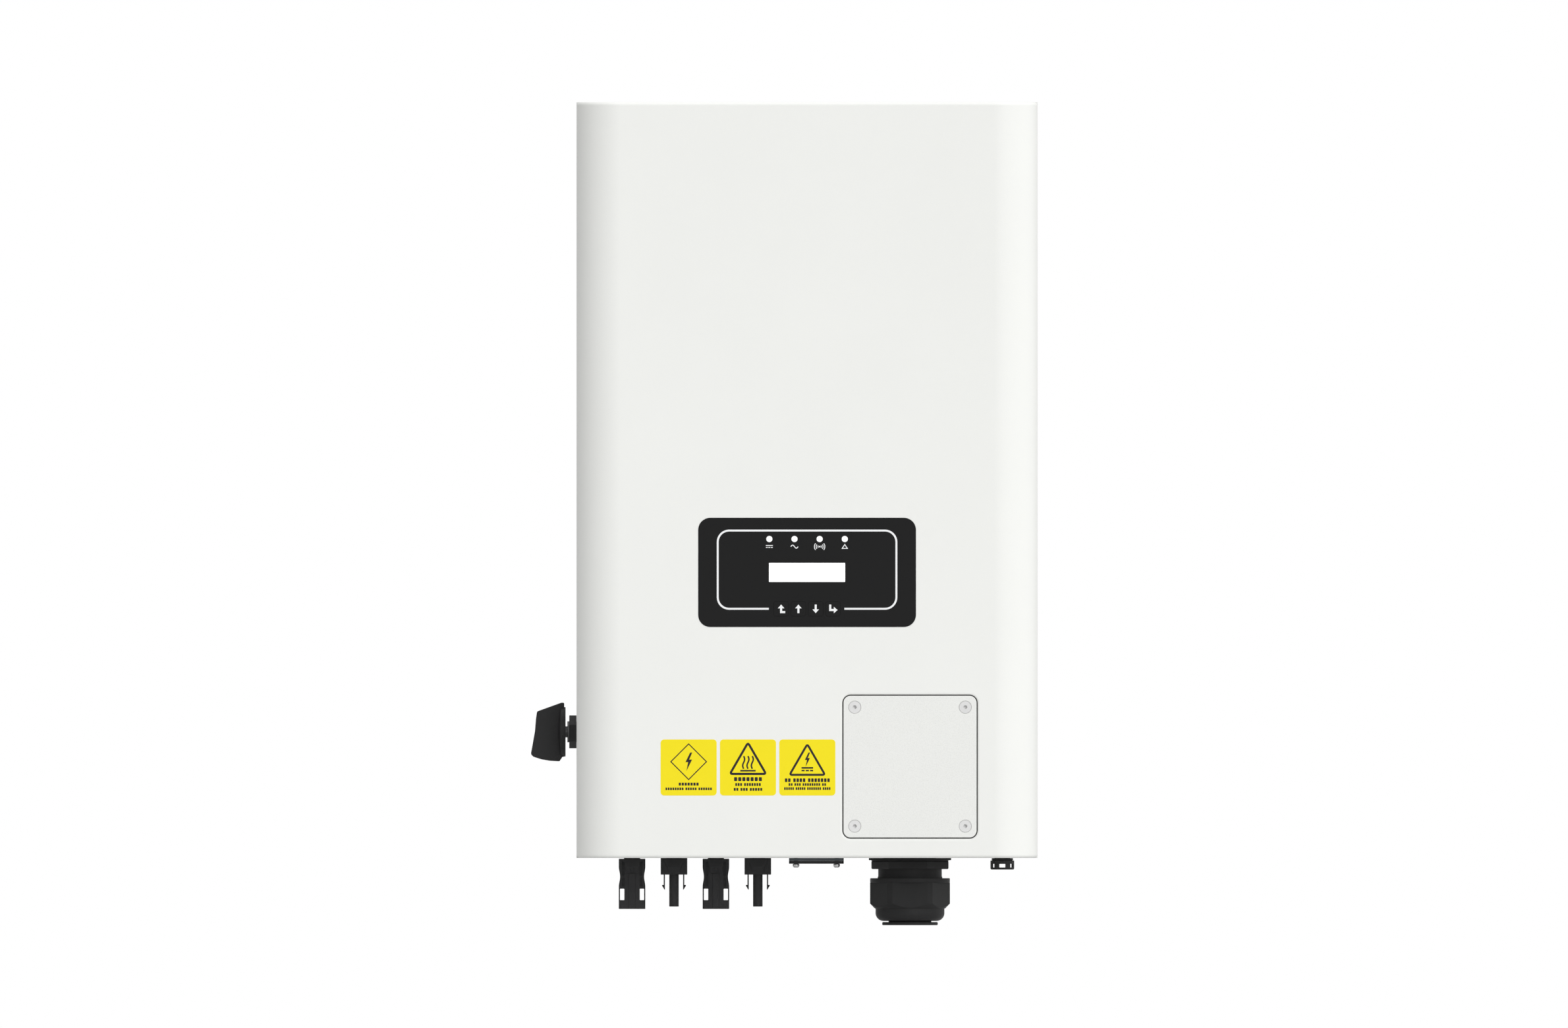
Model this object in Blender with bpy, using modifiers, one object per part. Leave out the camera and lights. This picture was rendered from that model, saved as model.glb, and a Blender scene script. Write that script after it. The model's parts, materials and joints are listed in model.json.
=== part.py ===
"""Three-phase solar string inverter that hangs on a wall.

The origin is the middle of the wall bracket's back face. +X is right for a person facing the
inverter, +Y points into the wall, and +Z is up. All sizes are in metres.
"""

import math

import bmesh
import bpy
from mathutils import Euler, Matrix, Vector

# ---------------------------------------------------------------- driving dimensions

CABINET_WIDTH = 0.352
CABINET_HEIGHT = 0.577
CABINET_DEPTH = 0.215
CABINET_TOP = 0.200  # above the middle of the wall bracket
WALL_GAP = 0.012  # from the wall to the back of the cabinet
COVER_DEPTH = 0.060
COVER_SHEET = 0.0025
COVER_CORNER_RADIUS = 0.033
COVER_EDGE_RADIUS = 0.0025
CHASSIS_WALL = 0.004
GAP = 0.0003  # between two pieces that touch
EASE = 0.001  # round a piece that only has to clear its neighbour

# ---------------------------------------------------------------- derived planes

RIGHT = CABINET_WIDTH / 2
LEFT = -RIGHT
BOTTOM = CABINET_TOP - CABINET_HEIGHT
BACK = -WALL_GAP
FRONT = BACK - CABINET_DEPTH
SPLIT = FRONT + COVER_DEPTH  # where the front cover meets the chassis
DUCT_DEPTH = 0.071  # from the back of the cabinet to the chassis floor
FLOOR_BACK = BACK - DUCT_DEPTH
FLOOR_FRONT = FLOOR_BACK - CHASSIS_WALL
SERVICE_Y = (FLOOR_FRONT + SPLIT) / 2  # line of the connectors in the chassis walls
INSIDE_BOTTOM = BOTTOM + CHASSIS_WALL

# Rotations that take an object's own +Z to the named direction.
TURNS = {
    "+Z": (0, 0, 0),
    "-Z": (math.pi, 0, 0),
    "+Y": (-math.pi / 2, 0, 0),
    "-Y": (math.pi / 2, 0, 0),
    "+X": (0, math.pi / 2, 0),
    "-X": (0, -math.pi / 2, 0),
}
# For each extrusion axis: the rotation that lays a flat outline across it, and its direction.
OUTLINE_FRAMES = {
    "X": ((math.pi / 2, 0, math.pi / 2), Vector((1, 0, 0))),  # the outline is (y, z)
    "Y": ((math.pi / 2, 0, 0), Vector((0, 1, 0))),  # the outline is (x, z)
    "Z": ((0, 0, 0), Vector((0, 0, 1))),  # the outline is (x, y)
}

# ---------------------------------------------------------------- scene and materials

for old in list(bpy.data.objects):
    bpy.data.objects.remove(old, do_unlink=True)

PARTS = bpy.data.collections.new("string_inverter")
CUTTERS = bpy.data.collections.new("cutters")
for collection in (PARTS, CUTTERS):
    bpy.context.scene.collection.children.link(collection)


def principled(name, color, roughness, metallic=0.0):
    """A plain Principled BSDF material."""
    made = bpy.data.materials.new(name)
    made.use_nodes = True
    shader = made.node_tree.nodes["Principled BSDF"]
    shader.inputs["Base Color"].default_value = (*color, 1)
    shader.inputs["Roughness"].default_value = roughness
    shader.inputs["Metallic"].default_value = metallic
    made.diffuse_color = (*color, 1)
    return made


WHITE_PAINT = principled("white_paint", (0.85, 0.86, 0.83), 0.45)
PANEL_FILM = principled("panel_film", (0.02, 0.02, 0.02), 0.35)
BLACK_PLASTIC = principled("black_plastic", (0.03, 0.03, 0.03), 0.5)
RUBBER = principled("rubber", (0.02, 0.02, 0.02), 0.8)
BARE_ALUMINIUM = principled("bare_aluminium", (0.75, 0.76, 0.77), 0.4, 1.0)
ZINC_STEEL = principled("zinc_steel", (0.65, 0.65, 0.66), 0.35, 1.0)
CLEAR_PLASTIC = principled("clear_plastic", (0.95, 0.96, 0.96), 0.15)
CIRCUIT_BOARD = principled("circuit_board", (0.02, 0.16, 0.07), 0.5)
GREY_PLASTIC = principled("grey_plastic", (0.25, 0.26, 0.28), 0.5)
DARK_STEEL = principled("dark_steel", (0.10, 0.11, 0.12), 0.45, 0.6)

# ---------------------------------------------------------------- shape tools


def place(name, mesh, material, location=(0, 0, 0), rotation=(0, 0, 0)):
    """Adds the mesh as a part, or as a hidden helper shape where it has no material."""
    made = bpy.data.objects.new(name, mesh)
    made.location = location
    made.rotation_euler = rotation
    if material is None:
        CUTTERS.objects.link(made)
        made.hide_render = True
        made.display_type = "WIRE"
    else:
        mesh.materials.append(material)
        PARTS.objects.link(made)
    return made


def finish_mesh(name, bm):
    """The bmesh as a mesh datablock with smooth curved faces."""
    mesh = bpy.data.meshes.new(name)
    bm.to_mesh(mesh)
    bm.free()
    mesh.shade_smooth()
    mesh.set_sharp_from_angle(angle=math.radians(35))
    return mesh


def box(name, low, high, material=None):
    """A block between two corners."""
    low, high = Vector(low), Vector(high)
    bm = bmesh.new()
    bmesh.ops.create_cube(bm, size=1)
    bmesh.ops.scale(bm, vec=high - low, verts=bm.verts)
    return place(name, finish_mesh(name, bm), material, (low + high) / 2)


def rod(name, start, axis, length, radius, material=None, sides=24, turn=0.0):
    """A cylinder or prism from start along axis. With turn 0 a corner lies on its own +X."""
    bm = bmesh.new()
    bmesh.ops.create_cone(
        bm,
        cap_ends=True,
        segments=sides,
        radius1=radius,
        radius2=radius,
        depth=length,
    )
    corner_on_x = math.pi / 2
    bmesh.ops.rotate(bm, verts=bm.verts, matrix=Matrix.Rotation(turn - corner_on_x, 3, "Z"))
    bmesh.ops.translate(bm, verts=bm.verts, vec=(0, 0, length / 2))
    return place(name, finish_mesh(name, bm), material, start, TURNS[axis])


def turned(name, profile, start, axis, material=None, steps=32):
    """A turned shape: (radius, height) points that run down the outer side, about axis from start.

    A profile that starts on the axis makes a solid piece, and any other makes a closed ring.
    """
    mesh = bpy.data.meshes.new(name)
    points = [(radius, 0, height) for radius, height in profile]
    edges = [(i, i + 1) for i in range(len(points) - 1)]
    if profile[0][0] > 0:
        edges.append((len(points) - 1, 0))
    mesh.from_pydata(points, edges, [])
    made = place(name, mesh, material, start, TURNS[axis])
    screw = made.modifiers.new("Turn", "SCREW")
    screw.steps = screw.render_steps = steps
    screw.use_merge_vertices = True
    screw.merge_threshold = 0.00001
    return made


def extruded(name, outlines, axis, low, high, material=None, origin=(0, 0, 0)):
    """A solid with two flat ends, from low to high along axis.

    The first closed outline is its edge and any others are holes in it.
    """
    curve = bpy.data.curves.new(name, "CURVE")
    curve.dimensions = "2D"
    curve.fill_mode = "BOTH"
    curve.extrude = (high - low) / 2
    for outline in outlines:
        spline = curve.splines.new("POLY")
        spline.points.add(len(outline) - 1)
        for point, (u, v) in zip(spline.points, outline):
            point.co = (u, v, 0, 1)
        spline.use_cyclic_u = True
    flat = bpy.data.objects.new(name + "_outline", curve)
    CUTTERS.objects.link(flat)
    graph = bpy.context.evaluated_depsgraph_get()
    raw = bpy.data.meshes.new_from_object(flat.evaluated_get(graph))
    bpy.data.objects.remove(flat)
    angles, direction = OUTLINE_FRAMES[axis]
    offset = direction * (low + high) / 2 - Vector(origin)
    raw.transform(Matrix.Translation(offset) @ Euler(angles).to_matrix().to_4x4())
    bm = bmesh.new()
    bm.from_mesh(raw)
    bpy.data.meshes.remove(raw)
    bmesh.ops.remove_doubles(bm, verts=bm.verts, dist=1e-6)
    bmesh.ops.recalc_face_normals(bm, faces=bm.faces)
    return place(name, finish_mesh(name, bm), material, origin)


def combine(target, operation, others):
    """Adds one Boolean for each of the other shapes."""
    for other in others:
        boolean = target.modifiers.new(operation.title(), "BOOLEAN")
        boolean.operation = operation
        boolean.object = other
    return target


def cut(target, *others):
    """Takes the other shapes out of target."""
    return combine(target, "DIFFERENCE", others)


def join(target, *others):
    """Makes target and the other shapes one body."""
    return combine(target, "UNION", others)


def round_edges(target, width, segments=1):
    """Rounds the sharp edges of target."""
    bevel = target.modifiers.new("Round", "BEVEL")
    bevel.width = width
    bevel.segments = segments
    bevel.limit_method = "ANGLE"
    bevel.angle_limit = math.radians(40)
    return target


def arc(centre, radius, start_deg, end_deg, segments):
    """Points on a circular arc."""
    angles = (
        math.radians(start_deg + (end_deg - start_deg) * i / segments) for i in range(segments + 1)
    )
    return [(centre[0] + radius * math.cos(a), centre[1] + radius * math.sin(a)) for a in angles]


def circle(centre, radius, sides=24):
    """A closed round outline."""
    return arc(centre, radius, 0, 360, sides)[:-1]


def rounded_rectangle(centre, width, height, radius, segments=5):
    """A closed rectangular outline with round corners."""
    across, up = width / 2 - radius, height / 2 - radius
    outline = []
    for quarter, (sx, sy) in enumerate(((1, 1), (-1, 1), (-1, -1), (1, -1))):
        middle = (centre[0] + sx * across, centre[1] + sy * up)
        outline += arc(middle, radius, 90 * quarter, 90 * quarter + 90, segments)
    return outline


def bow(start, end, sag, segments):
    """Points on a shallow curve from start to end, which sags to the right of its chord."""
    along = (end[0] - start[0], end[1] - start[1])
    length = math.hypot(*along)
    side = (along[1] / length, -along[0] / length)
    points = []
    for i in range(segments + 1):
        share = i / segments
        off = 4 * sag * share * (1 - share)
        points.append(tuple(start[k] + share * along[k] + off * side[k] for k in (0, 1)))
    return points


def corners(centre, half_width, half_height):
    """The four corners round a centre, from top left, row by row."""
    x, z = centre
    return [(x + sx * half_width, z + sz * half_height) for sz in (1, -1) for sx in (-1, 1)]


# ---------------------------------------------------------------- fasteners


def countersunk_screw(name, face, axis, head_radius, shank_radius, length, socket_radius):
    """A socket screw whose flat head ends at face. axis points out of the head."""
    head_depth = head_radius - shank_radius
    screw = turned(
        name,
        [
            (0, 0),
            (head_radius, 0),
            (head_radius, -0.0003),
            (shank_radius, -0.0003 - head_depth),
            (shank_radius, -length),
            (0, -length),
        ],
        face,
        axis,
        ZINC_STEEL,
        steps=14,
    )
    out = Vector((0, 0, 1))
    out.rotate(Euler(TURNS[axis]))
    socket_depth = 0.0016
    start = Vector(face) - out * socket_depth
    socket = rod(name + "_socket", start, axis, 2 * socket_depth, socket_radius, sides=6)
    return cut(screw, socket)


def countersink(name, face, axis, head_radius, shank_radius, depth):
    """The hole for a countersunk screw, with room round its head and shank."""
    wide, narrow = head_radius + GAP, shank_radius + GAP
    return turned(
        name,
        [
            (0, 0.002),
            (wide, 0.002),
            (wide, -0.0005),
            (narrow, -0.0005 - (wide - narrow)),
            (narrow, -depth),
            (0, -depth),
        ],
        face,
        axis,
        steps=14,
    )


def pan_screw(name, face, axis, head_radius, head_height, shank_radius, length):
    """A round-headed cross-slot screw. Its head stands on face and axis points out of the head."""
    screw = turned(
        name,
        [
            (0, head_height),
            (0.55 * head_radius, head_height * 0.94),
            (0.85 * head_radius, head_height * 0.72),
            (head_radius, head_height * 0.35),
            (head_radius, 0),
            (shank_radius, 0),
            (shank_radius, -length),
            (0, -length),
        ],
        face,
        axis,
        ZINC_STEEL,
        steps=12,
    )
    out = Vector((0, 0, 1))
    out.rotate(Euler(TURNS[axis]))
    centre = Vector(face) + out * head_height
    half_slot, half_width, depth = head_radius * 0.5, 0.0004, 0.0009
    reach = [abs(component) * depth for component in out]
    slots = []
    for along in range(3):
        if abs(out[along]) > 0.5:
            continue
        half = [max(reach[i], half_width) for i in range(3)]
        half[along] = half_slot
        slots.append(box(f"{name}_slot_{along}", centre - Vector(half), centre + Vector(half)))
    return cut(screw, *slots)


# ---------------------------------------------------------------- front cover and chassis

DISPLAY_CENTRE = (0.0, -0.159)
DISPLAY_SIZE = (0.166, 0.0831)
DISPLAY_POCKET_DEPTH = 0.0016
HATCH_CENTRE = (0.0786, -0.3073)
HATCH_SIZE = (0.1026, 0.1092)
HATCH_RADIUS = 0.0058
HATCH_POCKET_DEPTH = 0.0041
HATCH_SCREW_OFFSET = (0.0422, 0.0454)
HATCH_FRAME_DEPTH = 0.0091
COVER_RIM = SPLIT - GAP
LIP_THICKNESS = 0.003
LIP_OUTSIDE = RIGHT - COVER_SHEET - 0.0007
SEAL_THICKNESS = 0.0015
CHASSIS_FRONT = SPLIT + SEAL_THICKNESS + GAP
LIP_FRONT = SPLIT - 0.013
COVER_SCREW_Y = SPLIT - 0.0065
COVER_SCREW_HEIGHTS = {"upper": 0.140, "lower": -0.330}
COVER_SCREW_HEAD = 0.0037
COVER_SCREW_SHANK = 0.0019
MODULE_OPENING = 0.135  # half the width of the hole in the chassis floor
POWER_BOARD_CENTRE = (0.0, 0.030)
POWER_BOARD_FIXING = (0.142, 0.137)
POWER_BOARD_BACK = FLOOR_BACK - 0.0160


def side_name(side):
    """The name of the left (-1) or right (+1) side."""
    return "left" if side < 0 else "right"


def cover_shell():
    """The cover's skin: a block with round front corners, opened at the back and given a wall."""
    bm = bmesh.new()
    bmesh.ops.create_cube(bm, size=1)
    depth = COVER_RIM - FRONT
    bmesh.ops.scale(bm, vec=(CABINET_WIDTH, depth, CABINET_HEIGHT), verts=bm.verts)
    front, back = -depth / 2, depth / 2
    upright = [
        e
        for e in bm.edges
        if all(abs(v.co.y - front) < 1e-6 for v in e.verts)
        and abs(e.verts[0].co.z - e.verts[1].co.z) > 1e-6
    ]
    bmesh.ops.bevel(
        bm, geom=upright, offset=COVER_CORNER_RADIUS, segments=9, profile=0.5, affect="EDGES"
    )
    level = [
        e
        for e in bm.edges
        if abs(e.verts[0].co.z - e.verts[1].co.z) < 1e-6
        and not all(abs(v.co.y - back) < 1e-6 for v in e.verts)
    ]
    bmesh.ops.bevel(
        bm, geom=level, offset=COVER_EDGE_RADIUS, segments=2, profile=0.5, affect="EDGES"
    )
    behind = [f for f in bm.faces if all(abs(v.co.y - back) < 1e-6 for v in f.verts)]
    bmesh.ops.delete(bm, geom=behind, context="FACES")
    middle = (0, (FRONT + COVER_RIM) / 2, (CABINET_TOP + BOTTOM) / 2)
    shell = place("front_cover", finish_mesh("front_cover", bm), WHITE_PAINT, middle)
    wall = shell.modifiers.new("Wall", "SOLIDIFY")
    wall.thickness = COVER_SHEET
    wall.offset = -1
    wall.use_even_offset = True
    return shell


def build_front_cover():
    """The cover with its hatch recess, its display recess and its screw holes."""
    cover = cover_shell()
    outside = FRONT - 0.003
    hatch_x, hatch_z = HATCH_CENTRE
    frame_half = [side / 2 + 0.005 for side in HATCH_SIZE]
    frame = box(
        "hatch_frame",
        (hatch_x - frame_half[0], FRONT + 0.001, hatch_z - frame_half[1]),
        (hatch_x + frame_half[0], FRONT + HATCH_FRAME_DEPTH, hatch_z + frame_half[1]),
    )
    join(cover, frame)
    pocket = rounded_rectangle(
        HATCH_CENTRE, HATCH_SIZE[0] + EASE, HATCH_SIZE[1] + EASE, HATCH_RADIUS + EASE / 2
    )
    opening = rounded_rectangle(HATCH_CENTRE, HATCH_SIZE[0] - 0.027, HATCH_SIZE[1] - 0.027, 0.005)
    inside = FRONT + HATCH_FRAME_DEPTH + 0.003
    cutters = [
        extruded("hatch_pocket", [pocket], "Y", outside, FRONT + HATCH_POCKET_DEPTH),
        extruded("hatch_opening", [opening], "Y", outside, inside),
    ]
    for i, (x, z) in enumerate(corners(HATCH_CENTRE, *HATCH_SCREW_OFFSET)):
        cutters.append(rod(f"hatch_tap_{i}", (x, inside, z), "-Y", inside - outside, 0.0027, sides=10))
    recess = rounded_rectangle(
        DISPLAY_CENTRE, DISPLAY_SIZE[0] + EASE, DISPLAY_SIZE[1] + EASE, 0.0095
    )
    window = rounded_rectangle(DISPLAY_CENTRE, DISPLAY_SIZE[0] - 0.020, DISPLAY_SIZE[1] - 0.011, 0.004)
    cutters += [
        extruded("display_pocket", [recess], "Y", outside, FRONT + DISPLAY_POCKET_DEPTH),
        extruded("display_opening", [window], "Y", outside, FRONT + 0.006),
    ]
    for side in (-1, 1):
        out = "+X" if side > 0 else "-X"
        for level, z in COVER_SCREW_HEIGHTS.items():
            name = f"cover_hole_{side_name(side)}_{level}"
            face = (side * RIGHT, COVER_SCREW_Y, z)
            radii = (COVER_SCREW_HEAD, COVER_SCREW_SHANK)
            cutters.append(countersink(name, face, out, *radii, 0.006))
    return cut(cover, *cutters)


def build_cover_screws():
    """Two flush screws in each side of the cover."""
    for side in (-1, 1):
        for level, z in COVER_SCREW_HEIGHTS.items():
            countersunk_screw(
                f"cover_screw_{side_name(side)}_{level}",
                (side * (RIGHT - 0.0001), COVER_SCREW_Y, z),
                "+X" if side > 0 else "-X",
                COVER_SCREW_HEAD,
                COVER_SCREW_SHANK,
                0.010,
                0.00145,
            )


def tray(name, low, high, wall, material=None):
    """A box with an open front: its back and side walls are this thick."""
    low, high = Vector(low), Vector(high)
    shape = box(name, low, high, material)
    hollow = box(
        name + "_hollow",
        low + Vector((wall, -1.0, wall)),
        high - Vector((wall, wall, wall)),
    )
    return cut(shape, hollow)


def build_chassis():
    """The casting that everything is fixed to, with a lip that the cover slides over."""
    chassis = tray(
        "rear_chassis",
        (LEFT, CHASSIS_FRONT, BOTTOM),
        (RIGHT, FLOOR_BACK, CABINET_TOP),
        CHASSIS_WALL,
        WHITE_PAINT,
    )
    inset = RIGHT - LIP_OUTSIDE
    lip_back = CHASSIS_FRONT + 0.012
    lip_centre = (0, (CABINET_TOP + BOTTOM) / 2)
    lip_size = (CABINET_WIDTH - 2 * inset, CABINET_HEIGHT - 2 * inset)
    lip = extruded(
        "chassis_lip",
        [
            rounded_rectangle(lip_centre, *lip_size, 0.002, 2),
            rounded_rectangle(
                lip_centre, lip_size[0] - 2 * LIP_THICKNESS, lip_size[1] - 2 * LIP_THICKNESS, 0.002, 2
            ),
        ],
        "Y",
        LIP_FRONT,
        lip_back,
    )
    join(chassis, lip)
    for i, (x, z) in enumerate(corners(POWER_BOARD_CENTRE, *POWER_BOARD_FIXING)):
        start = (x, FLOOR_FRONT + 0.001, z)
        length = start[1] - POWER_BOARD_BACK - GAP
        join(chassis, rod(f"board_post_{i}", start, "-Y", length, 0.0030, sides=12))
    cutters = [
        box(
            "module_opening",
            (-MODULE_OPENING, FLOOR_FRONT - 0.003, -0.245),
            (MODULE_OPENING, FLOOR_BACK + 0.003, 0.155),
        ),
        rod("switch_hole", (LEFT - 0.003, SERVICE_Y, SWITCH_Z), "+X", 0.012, SWITCH_BUSH_RADIUS + GAP),
        rod("gland_hole", (GLAND_X, SERVICE_Y, BOTTOM - 0.003), "+Z", 0.012, GLAND_THREAD_RADIUS + GAP, sides=28),
        box(
            "port_hole",
            (PORT_X - 0.0145, SERVICE_Y - 0.018, BOTTOM - 0.003),
            (PORT_X + 0.0145, SERVICE_Y + 0.018, INSIDE_BOTTOM + 0.003),
        ),
        rod("logger_hole", (LOGGER_X, SERVICE_Y, BOTTOM - 0.003), "+Z", 0.012, LOGGER_STEM_RADIUS + GAP),
    ]
    for i in range(4):
        start = (PV_FIRST_X + i * PV_PITCH, SERVICE_Y, BOTTOM - 0.003)
        cutters.append(rod(f"pv_hole_{i}", start, "+Z", 0.012, PV_STEM_RADIUS + GAP, sides=16))
    for side in (-1, 1):
        start = (PORT_X + side * PORT_SCREW_OFFSET, SERVICE_Y, BOTTOM - 0.003)
        cutters.append(rod(f"port_tap_{side_name(side)}", start, "+Z", 0.012, 0.0018, sides=12))
        for level, z in COVER_SCREW_HEIGHTS.items():
            start = (side * (RIGHT - 0.010), COVER_SCREW_Y, z)
            name = f"lip_tap_{side_name(side)}_{level}"
            out = "+X" if side > 0 else "-X"
            cutters.append(rod(name, start, out, 0.012, COVER_SCREW_SHANK + GAP, sides=24))
    return cut(chassis, *cutters)


def build_cover_seal():
    """The rubber cord between the cover's rim and the chassis."""
    centre = (0, (CABINET_TOP + BOTTOM) / 2)
    inner = 2 * (RIGHT - LIP_OUTSIDE) - 2 * GAP
    extruded(
        "cover_seal",
        [
            rounded_rectangle(centre, CABINET_WIDTH - 0.001, CABINET_HEIGHT - 0.001, 0.003, 3),
            rounded_rectangle(centre, CABINET_WIDTH - inner, CABINET_HEIGHT - inner, 0.0022, 3),
        ],
        "Y",
        SPLIT,
        SPLIT + SEAL_THICKNESS,
        RUBBER,
    )


# ---------------------------------------------------------------- display

PANEL_PROUD = 0.0003
PANEL_FRONT = FRONT - PANEL_PROUD
PANEL_BACK = FRONT + DISPLAY_POCKET_DEPTH - GAP
LCD_WINDOW = (0.058, 0.0145)
LAMP_PITCH = 0.0192
LAMP_RADIUS = 0.0024
LAMP_Z = -0.1335
KEY_PITCH = 0.0132
KEY_Z = -0.1868
KEY_SIZE = 0.0114
KEY_CLEARANCE = 0.0003
KEY_TRAVEL = 0.0006
KEY_NAMES = ("back", "up", "down", "enter")
BOARD_FRONT = PANEL_BACK + 0.0062
BOARD_THICKNESS = 0.0016
BOARD_FIXING = (0.067, 0.030)


def row_of_four(pitch):
    """Offsets of four places, centred."""
    return [(i - 1.5) * pitch for i in range(4)]


def build_display():
    """The panel, its window, lamps and keys, and the board behind them."""
    lamps = [(x, LAMP_Z) for x in row_of_four(LAMP_PITCH)]
    keys = [(x, KEY_Z) for x in row_of_four(KEY_PITCH)]
    key_hole = KEY_SIZE + 2 * KEY_CLEARANCE
    holes = [rounded_rectangle(DISPLAY_CENTRE, *LCD_WINDOW, 0.0004, 1)]
    holes += [circle(lamp, LAMP_RADIUS, 14) for lamp in lamps]
    holes += [rounded_rectangle(key, key_hole, key_hole, 0.002, 2) for key in keys]
    panel_edge = rounded_rectangle(DISPLAY_CENTRE, *DISPLAY_SIZE, 0.009, 6)
    panel = extruded(
        "display_panel", [panel_edge, *holes], "Y", PANEL_FRONT, PANEL_BACK, PANEL_FILM
    )
    for i, (x, z) in enumerate(corners(DISPLAY_CENTRE, *BOARD_FIXING)):
        start = (x, PANEL_BACK - 0.0005, z)
        length = BOARD_FRONT - GAP - start[1]
        join(panel, rod(f"panel_post_{i}", start, "+Y", length, 0.0024, sides=12))
    build_lens()
    build_light_guide(lamps)
    for name, centre in zip(KEY_NAMES, keys):
        build_key(name, centre)
    build_display_electronics()


def build_lens():
    """The clear window over the liquid-crystal display, with a flange behind the panel."""
    window = [side - 2 * GAP for side in LCD_WINDOW]
    flange = [side + 0.006 for side in LCD_WINDOW]
    lens = extruded(
        "display_lens",
        [rounded_rectangle(DISPLAY_CENTRE, *window, 0.0004, 1)],
        "Y",
        FRONT + 0.0001,
        PANEL_BACK + 0.0008,
        CLEAR_PLASTIC,
    )
    rim = extruded(
        "lens_flange",
        [rounded_rectangle(DISPLAY_CENTRE, *flange, 0.001, 1)],
        "Y",
        PANEL_BACK + GAP,
        PANEL_BACK + 0.0012,
    )
    join(lens, rim)


def build_light_guide(lamps):
    """Four clear pipes on one bar, which carry the lamps' light to the panel."""
    bar_front = PANEL_BACK + 0.0010
    half_length = 1.5 * LAMP_PITCH + 0.004
    bar = box(
        "indicator_light_guide",
        (-half_length, bar_front, LAMP_Z - 0.003),
        (half_length, bar_front + 0.002, LAMP_Z + 0.003),
        CLEAR_PLASTIC,
    )
    for i, (x, z) in enumerate(lamps):
        start = (x, bar_front + 0.001, z)
        length = bar_front + 0.001 - FRONT
        join(bar, rod(f"light_pipe_{i}", start, "-Y", length, LAMP_RADIUS - GAP, sides=14))


def build_key(name, centre):
    """A key cap with a flange that keeps it behind the panel, and a stem that presses its switch."""
    x, z = centre
    flange_half = KEY_SIZE / 2 + 0.0006
    flange_front = PANEL_BACK + KEY_TRAVEL * 0.5
    flange_back = flange_front + 0.0009
    cap = extruded(
        f"key_{name}",
        [rounded_rectangle(centre, KEY_SIZE, KEY_SIZE, 0.0018, 2)],
        "Y",
        PANEL_FRONT,
        flange_front + 0.0004,
        PANEL_FILM,
        origin=(x, PANEL_FRONT, z),
    )
    flange = box(
        f"key_{name}_flange",
        (x - flange_half, flange_front, z - flange_half),
        (x + flange_half, flange_back, z + flange_half),
    )
    stem_back = BOARD_FRONT - 0.0016
    stem = rod(f"key_{name}_stem", (x, stem_back, z), "-Y", stem_back - flange_front, 0.0015, sides=12)
    join(cap, flange, stem)


def build_display_electronics():
    """The liquid-crystal module and the display board."""
    x, z = DISPLAY_CENTRE
    module = box(
        "lcd_module",
        (x - 0.0355, PANEL_BACK + 0.0016, z - 0.0120),
        (x + 0.0355, BOARD_FRONT - GAP, z + 0.0120),
        DARK_STEEL,
    )
    round_edges(module, 0.0006)
    edge = rounded_rectangle(DISPLAY_CENTRE, 0.142, 0.068, 0.002, 2)
    fixings = [circle(corner, 0.0012, 8) for corner in corners(DISPLAY_CENTRE, *BOARD_FIXING)]
    extruded(
        "display_board",
        [edge, *fixings],
        "Y",
        BOARD_FRONT,
        BOARD_FRONT + BOARD_THICKNESS,
        CIRCUIT_BOARD,
    )


# ---------------------------------------------------------------- wiring hatch

HATCH_PLATE_THICKNESS = 0.0025
HATCH_SCREW_HEAD = 0.00475
HATCH_SCREW_SHANK = 0.0024


def build_hatch():
    """The flush plate over the grid terminals, its seal and its four screws."""
    plate = extruded(
        "wiring_hatch",
        [rounded_rectangle(HATCH_CENTRE, *HATCH_SIZE, HATCH_RADIUS, 6)],
        "Y",
        FRONT,
        FRONT + HATCH_PLATE_THICKNESS,
        WHITE_PAINT,
    )
    radii = (HATCH_SCREW_HEAD, HATCH_SCREW_SHANK)
    screw_centres = corners(HATCH_CENTRE, *HATCH_SCREW_OFFSET)
    names = ("top_left", "top_right", "bottom_left", "bottom_right")
    for name, (x, z) in zip(names, screw_centres):
        cut(plate, countersink(f"hatch_hole_{name}", (x, FRONT, z), "-Y", *radii, 0.005))
        countersunk_screw(f"hatch_screw_{name}", (x, FRONT + 0.0001, z), "-Y", *radii, 0.012, 0.0017)
    seal_back = FRONT + HATCH_POCKET_DEPTH - GAP
    outer = [side - 0.001 for side in HATCH_SIZE]
    inner = [side - 0.026 for side in HATCH_SIZE]
    screw_holes = [circle(centre, 0.0032, 8) for centre in screw_centres]
    extruded(
        "hatch_seal",
        [
            rounded_rectangle(HATCH_CENTRE, *outer, HATCH_RADIUS, 4),
            rounded_rectangle(HATCH_CENTRE, *inner, 0.004, 3),
            *screw_holes,
        ],
        "Y",
        FRONT + HATCH_PLATE_THICKNESS + GAP,
        seal_back,
        RUBBER,
    )


# ---------------------------------------------------------------- battery of solar connectors

PV_FIRST_X = -0.1336
PV_PITCH = 0.032
PV_STEM_RADIUS = 0.0059
PV_HEAD_HALF = 0.0102
PV_FLAT_HALF = 0.0055
PV_BARREL_RADIUS = 0.0075
PV_TOP = BOTTOM - GAP
PV_SOCKET_LENGTH = 0.0389
PV_PLUG_BODY = 0.0127
PV_PLUG_LENGTH = 0.0371
PV_WAIST = (0.0064, 0.0212, 0.0011)  # from, to and how deep
PV_WINDOW = (0.0061, 0.0092, 0.0234, 0.0320)  # across from and to, down from and to


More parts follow.
